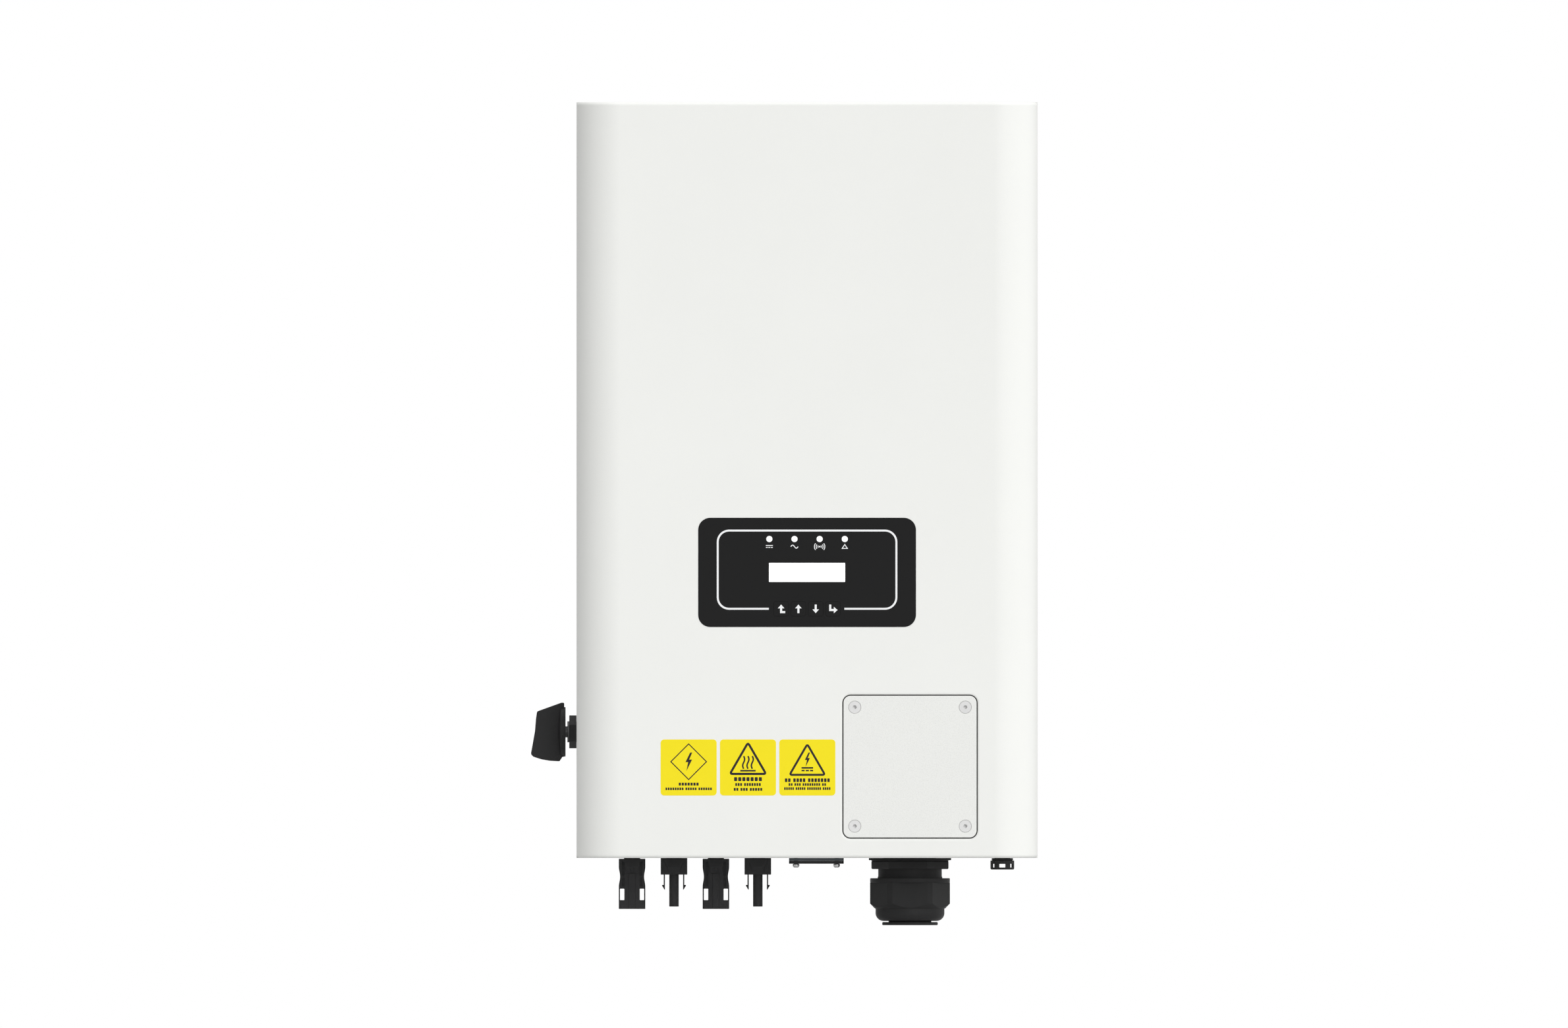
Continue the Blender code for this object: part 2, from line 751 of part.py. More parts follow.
def pv_stem(name, x):
    """The threaded stem that passes the chassis wall."""
    return rod(name, (x, SERVICE_Y, PV_TOP - 0.003), "+Z", 0.017, PV_STEM_RADIUS, sides=16)


def socket_outline(x):
    """The socket's front outline, with a finger waist on each side."""
    waist_top, waist_end, waist_depth = PV_WAIST
    steps = 8
    right = [(PV_HEAD_HALF, 0.0006)]
    for i in range(steps + 1):
        share = i / steps
        pinch = waist_depth * (1 - math.cos(2 * math.pi * share)) / 2
        right.append((PV_HEAD_HALF - pinch, waist_top + share * (waist_end - waist_top)))
    right.append((PV_HEAD_HALF, PV_SOCKET_LENGTH))
    outline = [(x + u, BOTTOM - v) for u, v in right]
    return outline + [(x - u, BOTTOM - v) for u, v in reversed(right)]


def build_pv_socket(name, x):
    """A panel socket: the other half's tube goes up its bore and its latches into the windows."""
    body = extruded(
        name,
        [socket_outline(x)],
        "Y",
        SERVICE_Y - PV_FLAT_HALF,
        SERVICE_Y + PV_FLAT_HALF,
        BLACK_PLASTIC,
    )
    barrel_top = (x, SERVICE_Y, PV_TOP - 0.0003)
    barrel_length = PV_SOCKET_LENGTH - 0.0006
    barrel = rod(name + "_barrel", barrel_top, "-Z", barrel_length, PV_BARREL_RADIUS, sides=20)
    join(body, barrel, pv_stem(name + "_stem", x))
    bore = rod(name + "_bore", (x, SERVICE_Y, BOTTOM - 0.042), "+Z", 0.036, 0.0044, sides=16)
    cutters = [bore]
    near, far, top, bottom = PV_WINDOW
    for side in (-1, 1):
        low_x, high_x = sorted((x + side * near, x + side * far))
        label = f"{name}_{side_name(side)}"
        cutters.append(
            box(
                label + "_window",
                (low_x, SERVICE_Y - 0.012, BOTTOM - bottom),
                (high_x, SERVICE_Y + 0.012, BOTTOM - top),
            )
        )
        cutters.append(
            box(
                label + "_channel",
                (low_x, SERVICE_Y - 0.0031, BOTTOM - 0.045),
                (high_x, SERVICE_Y + 0.0031, BOTTOM - bottom + 0.001),
            )
        )
    return cut(body, *cutters)


def latch_outline(x, side):
    """A latch arm with its hook, as seen from the front."""
    arm = [
        (0.0070, 0.0115),
        (0.0080, 0.0115),
        (0.0080, 0.0203),
        (0.0091, 0.0203),
        (0.0091, 0.0212),
        (0.0070, 0.0242),
    ]
    return [(x + side * u, BOTTOM - v) for u, v in arm]


def build_pv_plug(name, x):
    """A panel plug: a short head, a long contact tube and two sprung latches."""
    head = box(
        name,
        (x - PV_HEAD_HALF, SERVICE_Y - PV_FLAT_HALF, BOTTOM - PV_PLUG_BODY),
        (x + PV_HEAD_HALF, SERVICE_Y + PV_FLAT_HALF, BOTTOM - 0.0006),
        BLACK_PLASTIC,
    )
    barrel_top = (x, SERVICE_Y, PV_TOP - 0.0003)
    barrel_length = PV_PLUG_BODY - 0.0006
    barrel = rod(name + "_barrel", barrel_top, "-Z", barrel_length, PV_BARREL_RADIUS, sides=20)
    tube_top = (x, SERVICE_Y, BOTTOM - 0.010)
    tube = rod(name + "_tube", tube_top, "-Z", PV_PLUG_LENGTH - 0.010, 0.00375, sides=16)
    latches = [
        extruded(
            f"{name}_latch_{side_name(side)}",
            [latch_outline(x, side)],
            "Y",
            SERVICE_Y - 0.0026,
            SERVICE_Y + 0.0026,
        )
        for side in (-1, 1)
    ]
    join(head, barrel, pv_stem(name + "_stem", x), tube, *latches)
    bore = rod(name + "_bore", (x, SERVICE_Y, BOTTOM - 0.040), "+Z", 0.030, 0.0022, sides=12)
    return cut(head, bore)


def build_pv_connectors():
    """Two pairs of panel connectors and the plate that holds their stems inside."""
    centres = [PV_FIRST_X + i * PV_PITCH for i in range(4)]
    build_pv_socket("pv_socket_1", centres[0])
    build_pv_plug("pv_plug_1", centres[1])
    build_pv_socket("pv_socket_2", centres[2])
    build_pv_plug("pv_plug_2", centres[3])
    middle = (sum(centres) / 4, SERVICE_Y)
    extruded(
        "pv_retaining_plate",
        [
            rounded_rectangle(middle, 3 * PV_PITCH + 0.024, 0.026, 0.003, 2),
            *[circle((x, SERVICE_Y), PV_STEM_RADIUS + GAP, 16) for x in centres],
        ],
        "Z",
        INSIDE_BOTTOM + GAP,
        INSIDE_BOTTOM + GAP + 0.002,
        ZINC_STEEL,
    )


# ---------------------------------------------------------------- grid cable gland

GLAND_X = HATCH_CENTRE[0]
GLAND_THREAD_RADIUS = 0.0199
GLAND_BORE_RADIUS = 0.0205
GLAND_CORE_RADIUS = 0.0165
GLAND_BODY_TURN = math.radians(-3.5)  # how far its flats have turned from facing the front
GLAND_ROUND_RADIUS = 0.0305  # outside of the nut, which leaves its flats' corners round
GLAND_FLAT_CORNER = 0.0318  # to the corners that the nut's flats would meet in


def gland_point(depth=0.0):
    """A point on the gland's axis, this far below the cabinet."""
    return (GLAND_X, SERVICE_Y, BOTTOM - depth)


def ring(name, depth, height, outer, inner, material=None, steps=24):
    """A washer or sleeve on the gland's axis: its top is at depth and it is this high."""
    profile = [(outer, 0), (outer, -height), (inner, -height), (inner, 0)]
    return turned(name, profile, gland_point(depth), "+Z", material, steps)


def build_gland():
    """The cable gland from its washer down, with its locknut inside the cabinet."""
    ring("gland_washer", 0.0003, 0.0017, 0.03145, 0.0202, RUBBER)
    build_gland_body()
    locknut = rod(
        "gland_locknut",
        (GLAND_X, SERVICE_Y, INSIDE_BOTTOM + GAP),
        "+Z",
        0.006,
        0.0285,
        BLACK_PLASTIC,
        sides=6,
    )
    cut(locknut, rod("locknut_thread", gland_point(), "+Z", 0.03, GLAND_THREAD_RADIUS + GAP, sides=28))
    build_gland_nut()
    build_gland_insert()
    build_gland_plug()


def build_gland_body():
    """The fixed half: a thread through the wall, a hexagon, and the spigot the nut runs on."""
    body = turned(
        "gland_body",
        [
            (0.0243, -0.0065),
            (0.0243, -0.0310),
            (GLAND_BORE_RADIUS, -0.0310),
            (GLAND_BORE_RADIUS, -0.0120),
            (GLAND_CORE_RADIUS, -0.0100),
            (GLAND_CORE_RADIUS, 0.0150),
            (GLAND_THREAD_RADIUS, 0.0150),
            (GLAND_THREAD_RADIUS, -0.0065),
        ],
        gland_point(),
        "+Z",
        BLACK_PLASTIC,
        steps=24,
    )
    hexagon = rod(
        "gland_hexagon", gland_point(0.0022), "-Z", 0.0063, 0.0296, sides=6, turn=GLAND_BODY_TURN
    )
    hexagon_bore = rod("gland_hexagon_bore", gland_point(0.0), "-Z", 0.012, 0.0180)
    cut(hexagon, hexagon_bore)
    return join(body, hexagon)


def build_gland_nut():
    """The domed nut that squeezes the rubber insert round the cable."""
    nut_top = gland_point(0.0154)
    dome_radius, fillet = 0.0263, 0.0060
    height = 0.0327
    dome_side = [(0.03045, 0), (0.03045, -0.0036), (dome_radius, -0.0036)]
    dome_side += [
        (x, z)
        for x, z in arc((dome_radius - fillet, -height + fillet), fillet, 0, -90, 4)
    ]
    nut = turned(
        "gland_nut",
        [(0, 0), *dome_side, (0, -height)],
        nut_top,
        "+Z",
        BLACK_PLASTIC,
        steps=24,
    )
    hexagon = rod("nut_hexagon", gland_point(0.0188), "-Z", 0.0200, GLAND_FLAT_CORNER, sides=6)
    chamfer = turned(
        "nut_chamfer",
        [
            (0, 0.001),
            (GLAND_ROUND_RADIUS, 0.001),
            (GLAND_ROUND_RADIUS, -0.0160),
            (0.0268, -0.0197),
            (0, -0.0197),
        ],
        gland_point(0.0188),
        "+Z",
        steps=24,
    )
    combine(hexagon, "INTERSECT", [chamfer])
    join(nut, hexagon)
    cavity = turned(
        "nut_cavity",
        [
            (0, 0.002),
            (0.0248, 0.002),
            (0.0248, -0.0190),
            (0.0209, -0.0270),
            (0.0209, -0.0290),
            (0.0170, -0.0290),
            (0.0170, -0.0400),
            (0, -0.0400),
        ],
        nut_top,
        "+Z",
        steps=24,
    )
    return cut(nut, cavity)


def build_gland_insert():
    """The soft sleeve between the spigot and the nut's dome."""
    turned(
        "gland_insert",
        [
            (0.0202, -0.0180),
            (0.0202, -0.0410),
            (0.0185, -0.0440),
            (0.0167, -0.0440),
            (0.0167, -0.0180),
        ],
        gland_point(),
        "+Z",
        RUBBER,
        steps=24,
    )


def build_gland_plug():
    """The blanking plug that closes the insert until a cable is fitted."""
    shank, flange = 0.01635, 0.0213
    turned(
        "gland_plug",
        [
            (0, -0.0290),
            (shank - 0.001, -0.0290),
            (shank, -0.0300),
            (shank, -0.0488),
            (flange, -0.0488),
            (flange, -0.0513),
            (shank - 0.003, -0.0513),
            (shank - 0.003, -0.0330),
            (0, -0.0330),
        ],
        gland_point(),
        "+Z",
        RUBBER,
        steps=24,
    )


# ---------------------------------------------------------------- communication ports

PORT_X = 0.0071
PORT_SIZE = (0.0418, 0.046)
PORT_SCREW_OFFSET = 0.0155
LOGGER_X = 0.1491
LOGGER_STEM_RADIUS = 0.0060


def build_port_cover():
    """The plate under the communication port, with its seal and two screws."""
    centre = (PORT_X, SERVICE_Y)
    plate_top = BOTTOM - 0.0016
    plate_bottom = BOTTOM - 0.0044
    screws = [(PORT_X + side * PORT_SCREW_OFFSET, SERVICE_Y) for side in (-1, 1)]
    holes = [circle(screw, 0.0018, 12) for screw in screws]
    plate_edge = rounded_rectangle(centre, *PORT_SIZE, 0.003, 3)
    extruded("port_plate", [plate_edge, *holes], "Z", plate_bottom, plate_top, DARK_STEEL)
    seal_edge = rounded_rectangle(centre, PORT_SIZE[0] - 0.0008, PORT_SIZE[1] - 0.0008, 0.003, 3)
    extruded("port_seal", [seal_edge, *holes], "Z", plate_top + GAP, BOTTOM - GAP, RUBBER)
    for side, (x, y) in zip((-1, 1), screws):
        face = (x, y, plate_bottom - 0.0001)
        pan_screw(f"port_screw_{side_name(side)}", face, "-Z", 0.0026, 0.0030, 0.0014, 0.010)


def build_logger_socket():
    """The round bayonet socket for a data logger: a windowed cup on a stem."""
    outer, inner = 0.00915, 0.0079
    top, cup_top, floor, bottom = -0.0003, -0.0020, -0.0034, -0.0092
    socket = turned(
        "logger_socket",
        [
            (0, 0.0110),
            (LOGGER_STEM_RADIUS, 0.0110),
            (LOGGER_STEM_RADIUS, top),
            (0.0080, top),
            (0.0084, top - 0.0008),
            (0.0078, cup_top),
            (outer, cup_top),
            (outer, bottom + 0.0008),
            (outer - 0.0008, bottom),
            (inner, bottom),
            (inner, floor),
            (0, floor),
        ],
        (LOGGER_X, SERVICE_Y, BOTTOM),
        "+Z",
        BLACK_PLASTIC,
        steps=24,
    )
    window_top, window_bottom = BOTTOM - 0.0045, BOTTOM - 0.0073
    across = box(
        "logger_window_front",
        (LOGGER_X - 0.0023, SERVICE_Y - 0.011, window_bottom),
        (LOGGER_X + 0.0023, SERVICE_Y + 0.011, window_top),
    )
    slits = [
        box(
            f"logger_window_{side_name(side)}",
            (LOGGER_X + side * 0.0067 - 0.0004, SERVICE_Y - 0.011, window_bottom),
            (LOGGER_X + side * 0.0067 + 0.0004, SERVICE_Y + 0.011, window_top),
        )
        for side in (-1, 1)
    ]
    return cut(socket, across, *slits)


# ---------------------------------------------------------------- solar disconnect switch

SWITCH_Z = -0.2807
SWITCH_BUSH_RADIUS = 0.0080
SWITCH_SHAFT_RADIUS = 0.00425
KNOB_BACK = 0.0083  # outwards from the chassis wall
KNOB_DISC_RADIUS = 0.0191


def switch_point(outwards):
    """A point on the switch's axis, this far out of the left wall."""
    return (LEFT - outwards, SERVICE_Y, SWITCH_Z)


def build_switch():
    """The rotary disconnect: a contact block inside, and a nut, a shaft and a knob outside."""
    body = box(
        "dc_switch_body",
        (LEFT + CHASSIS_WALL + GAP, SERVICE_Y - 0.025, SWITCH_Z - 0.030),
        (LEFT + 0.066, SERVICE_Y + 0.025, SWITCH_Z + 0.030),
        BLACK_PLASTIC,
    )
    round_edges(body, 0.0015)
    bush = rod("switch_bush", switch_point(0.0070), "+X", 0.0170, SWITCH_BUSH_RADIUS)
    join(body, bush)
    bore = rod("switch_bore", switch_point(0.0100), "+X", 0.0380, SWITCH_SHAFT_RADIUS + GAP)
    cut(body, bore)
    nut = rod(
        "dc_switch_nut",
        switch_point(GAP),
        "-X",
        0.0053,
        0.01275,
        BLACK_PLASTIC,
        sides=6,
        turn=math.radians(-5),
    )
    cut(nut, rod("switch_nut_thread", switch_point(-0.002), "-X", 0.012, SWITCH_BUSH_RADIUS + GAP))
    rod("dc_switch_shaft", switch_point(0.0205), "+X", 0.0475, SWITCH_SHAFT_RADIUS, ZINC_STEEL, 24)
    build_knob()


def build_knob():
    """A disc with a shallow dome and a leaning bar grip."""
    rim = 0.0041
    knob = turned(
        "dc_switch_knob",
        [
            (0, rim + 0.0017),
            (0.0090, rim + 0.0012),
            (0.0160, rim + 0.0003),
            (KNOB_DISC_RADIUS, rim - 0.0004),
            (KNOB_DISC_RADIUS, 0),
            (0, 0),
        ],
        switch_point(KNOB_BACK),
        "-X",
        BLACK_PLASTIC,
        steps=24,
    )
    grip = [(0.0106, -0.0184), (0.0097, 0.0150), (0.0097, 0.0224), (0.0120, 0.0224)]
    grip += [(0.0307, 0.0154)]
    grip += bow((0.0311, 0.0147), (0.0349, -0.0165), 0.0008, 5)
    grip += bow((0.0340, -0.0184), (0.0128, -0.0225), -0.0009, 5)
    outline = [(LEFT - out, SWITCH_Z + up) for out, up in grip]
    bar = extruded("knob_grip", [outline], "Y", SERVICE_Y - 0.0058, SERVICE_Y + 0.0058)
    shaft_hole = rod("knob_bore", switch_point(0.0060), "-X", 0.0150, SWITCH_SHAFT_RADIUS + GAP)
    join(knob, bar)
    return cut(knob, shaft_hole)


# ---------------------------------------------------------------- heat sink, duct and fans

SINK_HALF_WIDTH = 0.160
SINK_BOTTOM, SINK_TOP = -0.335, 0.185
SINK_BASE = 0.008
FIN_COUNT = 33
FIN_THICKNESS = 0.002
DUCT_SHEET = 0.0015
FAN_SIZE = 0.060
FAN_DEPTH = 0.025
FAN_Y = -0.0485
FAN_OFFSET = 0.075
FAN_BOTTOM = BOTTOM + 0.0025
FAN_BORE = 0.0285
FAN_PIN = 0.0015
BLADE_COUNT = 7


def sink_outline():
    """The comb section of the heat sink, seen from above."""
    base_back = FLOOR_BACK + GAP + SINK_BASE
    fin_tip = BACK - DUCT_SHEET - EASE
    pitch = (2 * SINK_HALF_WIDTH - FIN_THICKNESS) / (FIN_COUNT - 1)
    outline = [(SINK_HALF_WIDTH, FLOOR_BACK + GAP), (-SINK_HALF_WIDTH, FLOOR_BACK + GAP)]
    for i in range(FIN_COUNT):
        left = -SINK_HALF_WIDTH + i * pitch
        outline.append((left, base_back if i else fin_tip))
        if i:
            outline.append((left, fin_tip))
        outline.append((left + FIN_THICKNESS, fin_tip))
        if i < FIN_COUNT - 1:
            outline.append((left + FIN_THICKNESS, base_back))
    return outline


def build_heat_sink():
    """The finned extrusion behind the chassis floor."""
    extruded("heat_sink", [sink_outline()], "Z", SINK_BOTTOM, SINK_TOP, BARE_ALUMINIUM)


def build_duct_cover():
    """The bent sheet that closes the back and the sides of the fins, with outlet slots."""
    inner = RIGHT - DUCT_SHEET
    front = FLOOR_BACK + GAP
    outline = [
        (-RIGHT, front),
        (-RIGHT, BACK),
        (RIGHT, BACK),
        (RIGHT, front),
        (inner, front),
        (inner, BACK - DUCT_SHEET),
        (-inner, BACK - DUCT_SHEET),
        (-inner, front),
    ]
    duct = extruded("duct_cover", [outline], "Z", BOTTOM + 0.001, CABINET_TOP - 0.001, WHITE_PAINT)
    slot_height, pitch, slot_count = 0.004, 0.011, 10
    for i in range(slot_count):
        low = CABINET_TOP - 0.030 - i * pitch
        for side in (-1, 1):
            cut(
                duct,
                box(
                    f"duct_slot_{side_name(side)}_{i}",
                    (side * RIGHT - 0.004, FLOOR_BACK + 0.014, low - slot_height),
                    (side * RIGHT + 0.004, BACK - 0.014, low),
                ),
            )
    return duct


def build_fan_tray():
    """The plate under the two fans, with a slotted guard below each one."""
    depth = FAN_SIZE + 0.007
    outline = rounded_rectangle((0, FAN_Y), 0.344, depth, 0.003, 2)
    slots = []
    pitch, slot_half, reach = 0.0068, 0.0021, 0.0265
    for side in (-1, 1):
        for i in range(-3, 4):
            y = FAN_Y + i * pitch
            half = math.sqrt(reach**2 - (abs(i) * pitch + slot_half) ** 2)
            middle = (side * FAN_OFFSET, y)
            slots.append(rounded_rectangle(middle, 2 * half, 2 * slot_half, slot_half * 0.5, 1))
    extruded("fan_tray", [outline, *slots], "Z", BOTTOM + GAP, BOTTOM + 0.0020, ZINC_STEEL)


def build_fan_frame(side):
    """A square fan housing, with the motor's seat on three struts above the rotor."""
    x = side * FAN_OFFSET
    name = f"fan_frame_{side_name(side)}"
    top = FAN_BOTTOM + FAN_DEPTH
    edge = rounded_rectangle((x, FAN_Y), FAN_SIZE, FAN_SIZE, 0.003, 2)
    frame = extruded(
        name, [edge, circle((x, FAN_Y), FAN_BORE, 28)], "Z", FAN_BOTTOM, top, BLACK_PLASTIC
    )
    seat = rod(f"{name}_seat", (x, FAN_Y, top - 0.003), "+Z", 0.0029, 0.0160)
    struts = []
    for i in range(3):
        strut = box(f"{name}_strut_{i}", (0.010, -0.0014, 0), (FAN_BORE + 0.001, 0.0014, 0.0027))
        angle = math.radians(120 * i + 20)
        strut.data.transform(Matrix.Translation(strut.location))
        strut.location = (x, FAN_Y, top - 0.0029)
        strut.rotation_euler = (0, 0, angle)
        struts.append(strut)
    join(frame, seat, *struts)
    bearing = rod(f"{name}_bearing", (x, FAN_Y, top - 0.006), "+Z", 0.009, FAN_PIN + GAP, sides=12)
    return cut(frame, bearing)


def build_fan_rotor(side):
    """The hub with its swept blades."""
    x = side * FAN_OFFSET
    name = f"fan_rotor_{side_name(side)}"
    hub_height, hub_radius, blade_tip = 0.0195, 0.0155, 0.0272
    hub = turned(
        name,
        [
            (0, hub_height + 0.0035),
            (FAN_PIN, hub_height + 0.0035),
            (FAN_PIN, hub_height),
            (hub_radius, hub_height),
            (hub_radius, 0.0015),
            (hub_radius - 0.0015, 0),
            (0, 0),
        ],
        (x, FAN_Y, FAN_BOTTOM + 0.0015),
        "+Z",
        BLACK_PLASTIC,
        steps=20,
    )
    pitch_angle = math.radians(38)
    for i in range(BLADE_COUNT):
        bm = bmesh.new()
        bmesh.ops.create_cube(bm, size=1)
        bmesh.ops.scale(bm, vec=(blade_tip - hub_radius + 0.001, 0.0012, 0.0190), verts=bm.verts)
        bmesh.ops.rotate(bm, verts=bm.verts, matrix=Matrix.Rotation(pitch_angle, 3, "X"))
        reach = (blade_tip + hub_radius - 0.001) / 2
        bmesh.ops.translate(bm, verts=bm.verts, vec=(reach, 0, hub_height / 2))
        angle = 2 * math.pi * i / BLADE_COUNT
        mesh = finish_mesh(f"{name}_blade_{i}", bm)
        place_at = (x, FAN_Y, FAN_BOTTOM + 0.0015)
        join(hub, place(f"{name}_blade_{i}", mesh, None, place_at, (0, 0, angle)))
    return hub


def build_cooling():
    """Everything in the air duct behind the chassis."""
    build_heat_sink()
    build_duct_cover()
    build_fan_tray()
    for side in (-1, 1):
        build_fan_frame(side)
        build_fan_rotor(side)


# ---------------------------------------------------------------- wall bracket and hanger

BRACKET_SIZE = (0.250, 0.110)
BRACKET_SHEET = 0.0025
HOOK_RISE = 0.014
HANGER_WIDTH = 0.220


def build_wall_bracket():
    """A plate bolted to the wall, with a folded rail along its top that the hanger drops over."""
    half = BRACKET_SIZE[1] / 2
    fold, rail_back = half - 0.002, -0.0042
    rail_front = rail_back - BRACKET_SHEET
    profile = [
        (0, -half),
        (0, half),
        (rail_back, half),
        (rail_back, half + HOOK_RISE),
        (rail_front, half + HOOK_RISE),
        (rail_front, fold - 0.0005),
        (-BRACKET_SHEET, fold - 0.0005),
        (-BRACKET_SHEET, -half),
    ]
    bracket = extruded(
        "wall_bracket", [profile], "X", -BRACKET_SIZE[0] / 2, BRACKET_SIZE[0] / 2, ZINC_STEEL
    )
    for i, (x, z) in enumerate([*corners((0, -0.005), 0.100, 0.033), (0, 0.032), (0, -0.040)]):
        cut(bracket, rod(f"bolt_hole_{i}", (x, 0.003, z), "-Y", 0.010, 0.0045, sides=16))
    return bracket


def build_hanger():
    """The folded rail on the cabinet's back that hooks over the wall bracket."""
    sheet = 0.0015
    rail_top = BRACKET_SIZE[1] / 2 + HOOK_RISE
    front = BACK + GAP
    profile = [
        (front, rail_top - 0.040),
        (front, rail_top + 0.0008 + sheet),
        (-0.0022, rail_top + 0.0008 + sheet),
        (-0.0022, rail_top - 0.009),
        (-0.0022 - sheet, rail_top - 0.009),
        (-0.0022 - sheet, rail_top + 0.0004),
        (front + sheet, rail_top + 0.0004),
        (front + sheet, rail_top - 0.040),
    ]
    extruded("hanger_rail", [profile], "X", -HANGER_WIDTH / 2, HANGER_WIDTH / 2, ZINC_STEEL)


# ---------------------------------------------------------------- power electronics


def build_inductor(name, low_x, high_x):
    """A potted choke in a finned aluminium can, screwed to the heat sink."""
    low = Vector((low_x, -0.155, -0.238))
    high = Vector((high_x, FLOOR_BACK - GAP, -0.140))
    can = box(name, low, high, BARE_ALUMINIUM)
    round_edges(can, 0.003)
    potting = box(
        name + "_potting",
        (low.x + 0.006, low.y - 0.01, low.z + 0.006),
        (high.x - 0.006, low.y + 0.005, high.z - 0.006),
    )
    return cut(can, potting)


def build_terminal_block():
    """The five-way grid terminal: a screw well and a wire entry for each conductor."""
    pole_pitch, poles = 0.0155, 5
    length = pole_pitch * poles + 0.004
    low = Vector((HATCH_CENTRE[0] - length / 2, -0.1560, -0.3300))
    high = Vector((HATCH_CENTRE[0] + length / 2, FLOOR_FRONT - GAP, -0.2950))
    block = box("ac_terminal_block", low, high, GREY_PLASTIC)
    for i in range(poles):
        x = low.x + 0.002 + (i + 0.5) * pole_pitch
        well = rod(f"terminal_well_{i}", (x, low.y + 0.012, -0.3080), "-Y", 0.016, 0.0045, sides=12)
        entry = box(
            f"terminal_entry_{i}",
            (x - 0.005, low.y + 0.016, low.z - 0.003),
            (x + 0.005, low.y + 0.028, low.z + 0.014),
        )
        cut(block, well, entry)
    return block


def build_boards():
    """The power board on its module, and the control board on four posts in front of it."""
    edge = rounded_rectangle(POWER_BOARD_CENTRE, 0.300, 0.290, 0.004, 2)
    fixings = [
        circle(corner, 0.0016, 10) for corner in corners(POWER_BOARD_CENTRE, *POWER_BOARD_FIXING)
    ]
    board_front = POWER_BOARD_BACK - BOARD_THICKNESS
    extruded("power_board", [edge, *fixings], "Y", board_front, POWER_BOARD_BACK, CIRCUIT_BOARD)
    control_centre = (0, 0.095)
    control_back = board_front - 0.056
    control_edge = rounded_rectangle(control_centre, 0.170, 0.110, 0.003, 2)
    control = extruded(
        "control_board",
        [control_edge],
        "Y",
        control_back - BOARD_THICKNESS,
        control_back,
        CIRCUIT_BOARD,
    )
    for i, (x, z) in enumerate(corners(control_centre, 0.079, 0.049)):
        start = (x, control_back - 0.0010, z)
        length = board_front - GAP - start[1]
        join(control, rod(f"control_post_{i}", start, "+Y", length, 0.0030, sides=8))
    module = box(
        "inverter_module",
        (-0.062, POWER_BOARD_BACK + GAP, 0.010),
        (0.062, FLOOR_BACK - GAP, 0.072),
        GREY_PLASTIC,
    )
    round_edges(module, 0.0015)
    for side in (-1, 1):
        x = side * 0.052
        capacitor = box(
            f"dc_link_capacitor_{side_name(side)}",
            (x - 0.045, board_front - 0.046, -0.085),
            (x + 0.045, board_front - GAP, -0.035),
            GREY_PLASTIC,
        )
        round_edges(capacitor, 0.0025)
    relays = box(
        "grid_relay_block",
        (0.090, board_front - 0.032, 0.040),
        (0.140, board_front - GAP, 0.150),
        BLACK_PLASTIC,
    )
    round_edges(relays, 0.0015)


def build_electronics():
    """The electrical parts inside the cabinet."""
    build_boards()
    build_inductor("boost_inductor_box", -0.130, -0.010)
    build_inductor("filter_inductor_box", 0.010, 0.130)
    build_terminal_block()


build_front_cover()
build_cover_screws()
build_chassis()
build_cover_seal()
build_display()
build_hatch()
build_pv_connectors()
build_gland()
build_port_cover()
build_logger_socket()
build_switch()
build_cooling()
build_wall_bracket()
build_hanger()
build_electronics()
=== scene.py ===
import json
import math

import bmesh
import bpy
from mathutils import Matrix, Vector

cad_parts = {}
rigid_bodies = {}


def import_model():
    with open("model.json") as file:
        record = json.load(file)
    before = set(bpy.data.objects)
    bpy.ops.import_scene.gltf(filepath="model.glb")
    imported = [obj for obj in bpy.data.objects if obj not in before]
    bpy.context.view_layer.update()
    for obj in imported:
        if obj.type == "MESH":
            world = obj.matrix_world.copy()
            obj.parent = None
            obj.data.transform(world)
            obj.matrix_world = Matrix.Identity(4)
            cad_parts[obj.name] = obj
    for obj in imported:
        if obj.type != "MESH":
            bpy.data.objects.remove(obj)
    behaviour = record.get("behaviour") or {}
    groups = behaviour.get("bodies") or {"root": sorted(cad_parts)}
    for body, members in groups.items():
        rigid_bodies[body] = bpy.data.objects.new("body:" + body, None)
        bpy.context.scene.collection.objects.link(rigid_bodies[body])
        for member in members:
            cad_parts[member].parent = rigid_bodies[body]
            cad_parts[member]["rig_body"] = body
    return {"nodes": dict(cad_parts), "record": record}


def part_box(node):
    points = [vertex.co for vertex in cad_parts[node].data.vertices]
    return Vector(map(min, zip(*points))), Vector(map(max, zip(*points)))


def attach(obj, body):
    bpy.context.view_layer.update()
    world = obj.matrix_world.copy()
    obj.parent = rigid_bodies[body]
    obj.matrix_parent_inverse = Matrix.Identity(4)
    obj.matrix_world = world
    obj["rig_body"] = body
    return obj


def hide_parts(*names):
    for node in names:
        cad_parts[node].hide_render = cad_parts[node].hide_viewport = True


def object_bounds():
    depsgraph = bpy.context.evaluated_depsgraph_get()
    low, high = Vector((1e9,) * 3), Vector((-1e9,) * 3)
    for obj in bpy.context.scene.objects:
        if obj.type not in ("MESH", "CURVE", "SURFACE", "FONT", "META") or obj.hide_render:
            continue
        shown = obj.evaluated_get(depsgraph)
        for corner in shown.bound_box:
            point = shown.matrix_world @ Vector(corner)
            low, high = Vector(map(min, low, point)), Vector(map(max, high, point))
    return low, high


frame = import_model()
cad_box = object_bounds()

# A wall-hung string inverter, in metres and in the frame's own axes: +X to the right for
# a person facing it, +Y into the wall, +Z up.

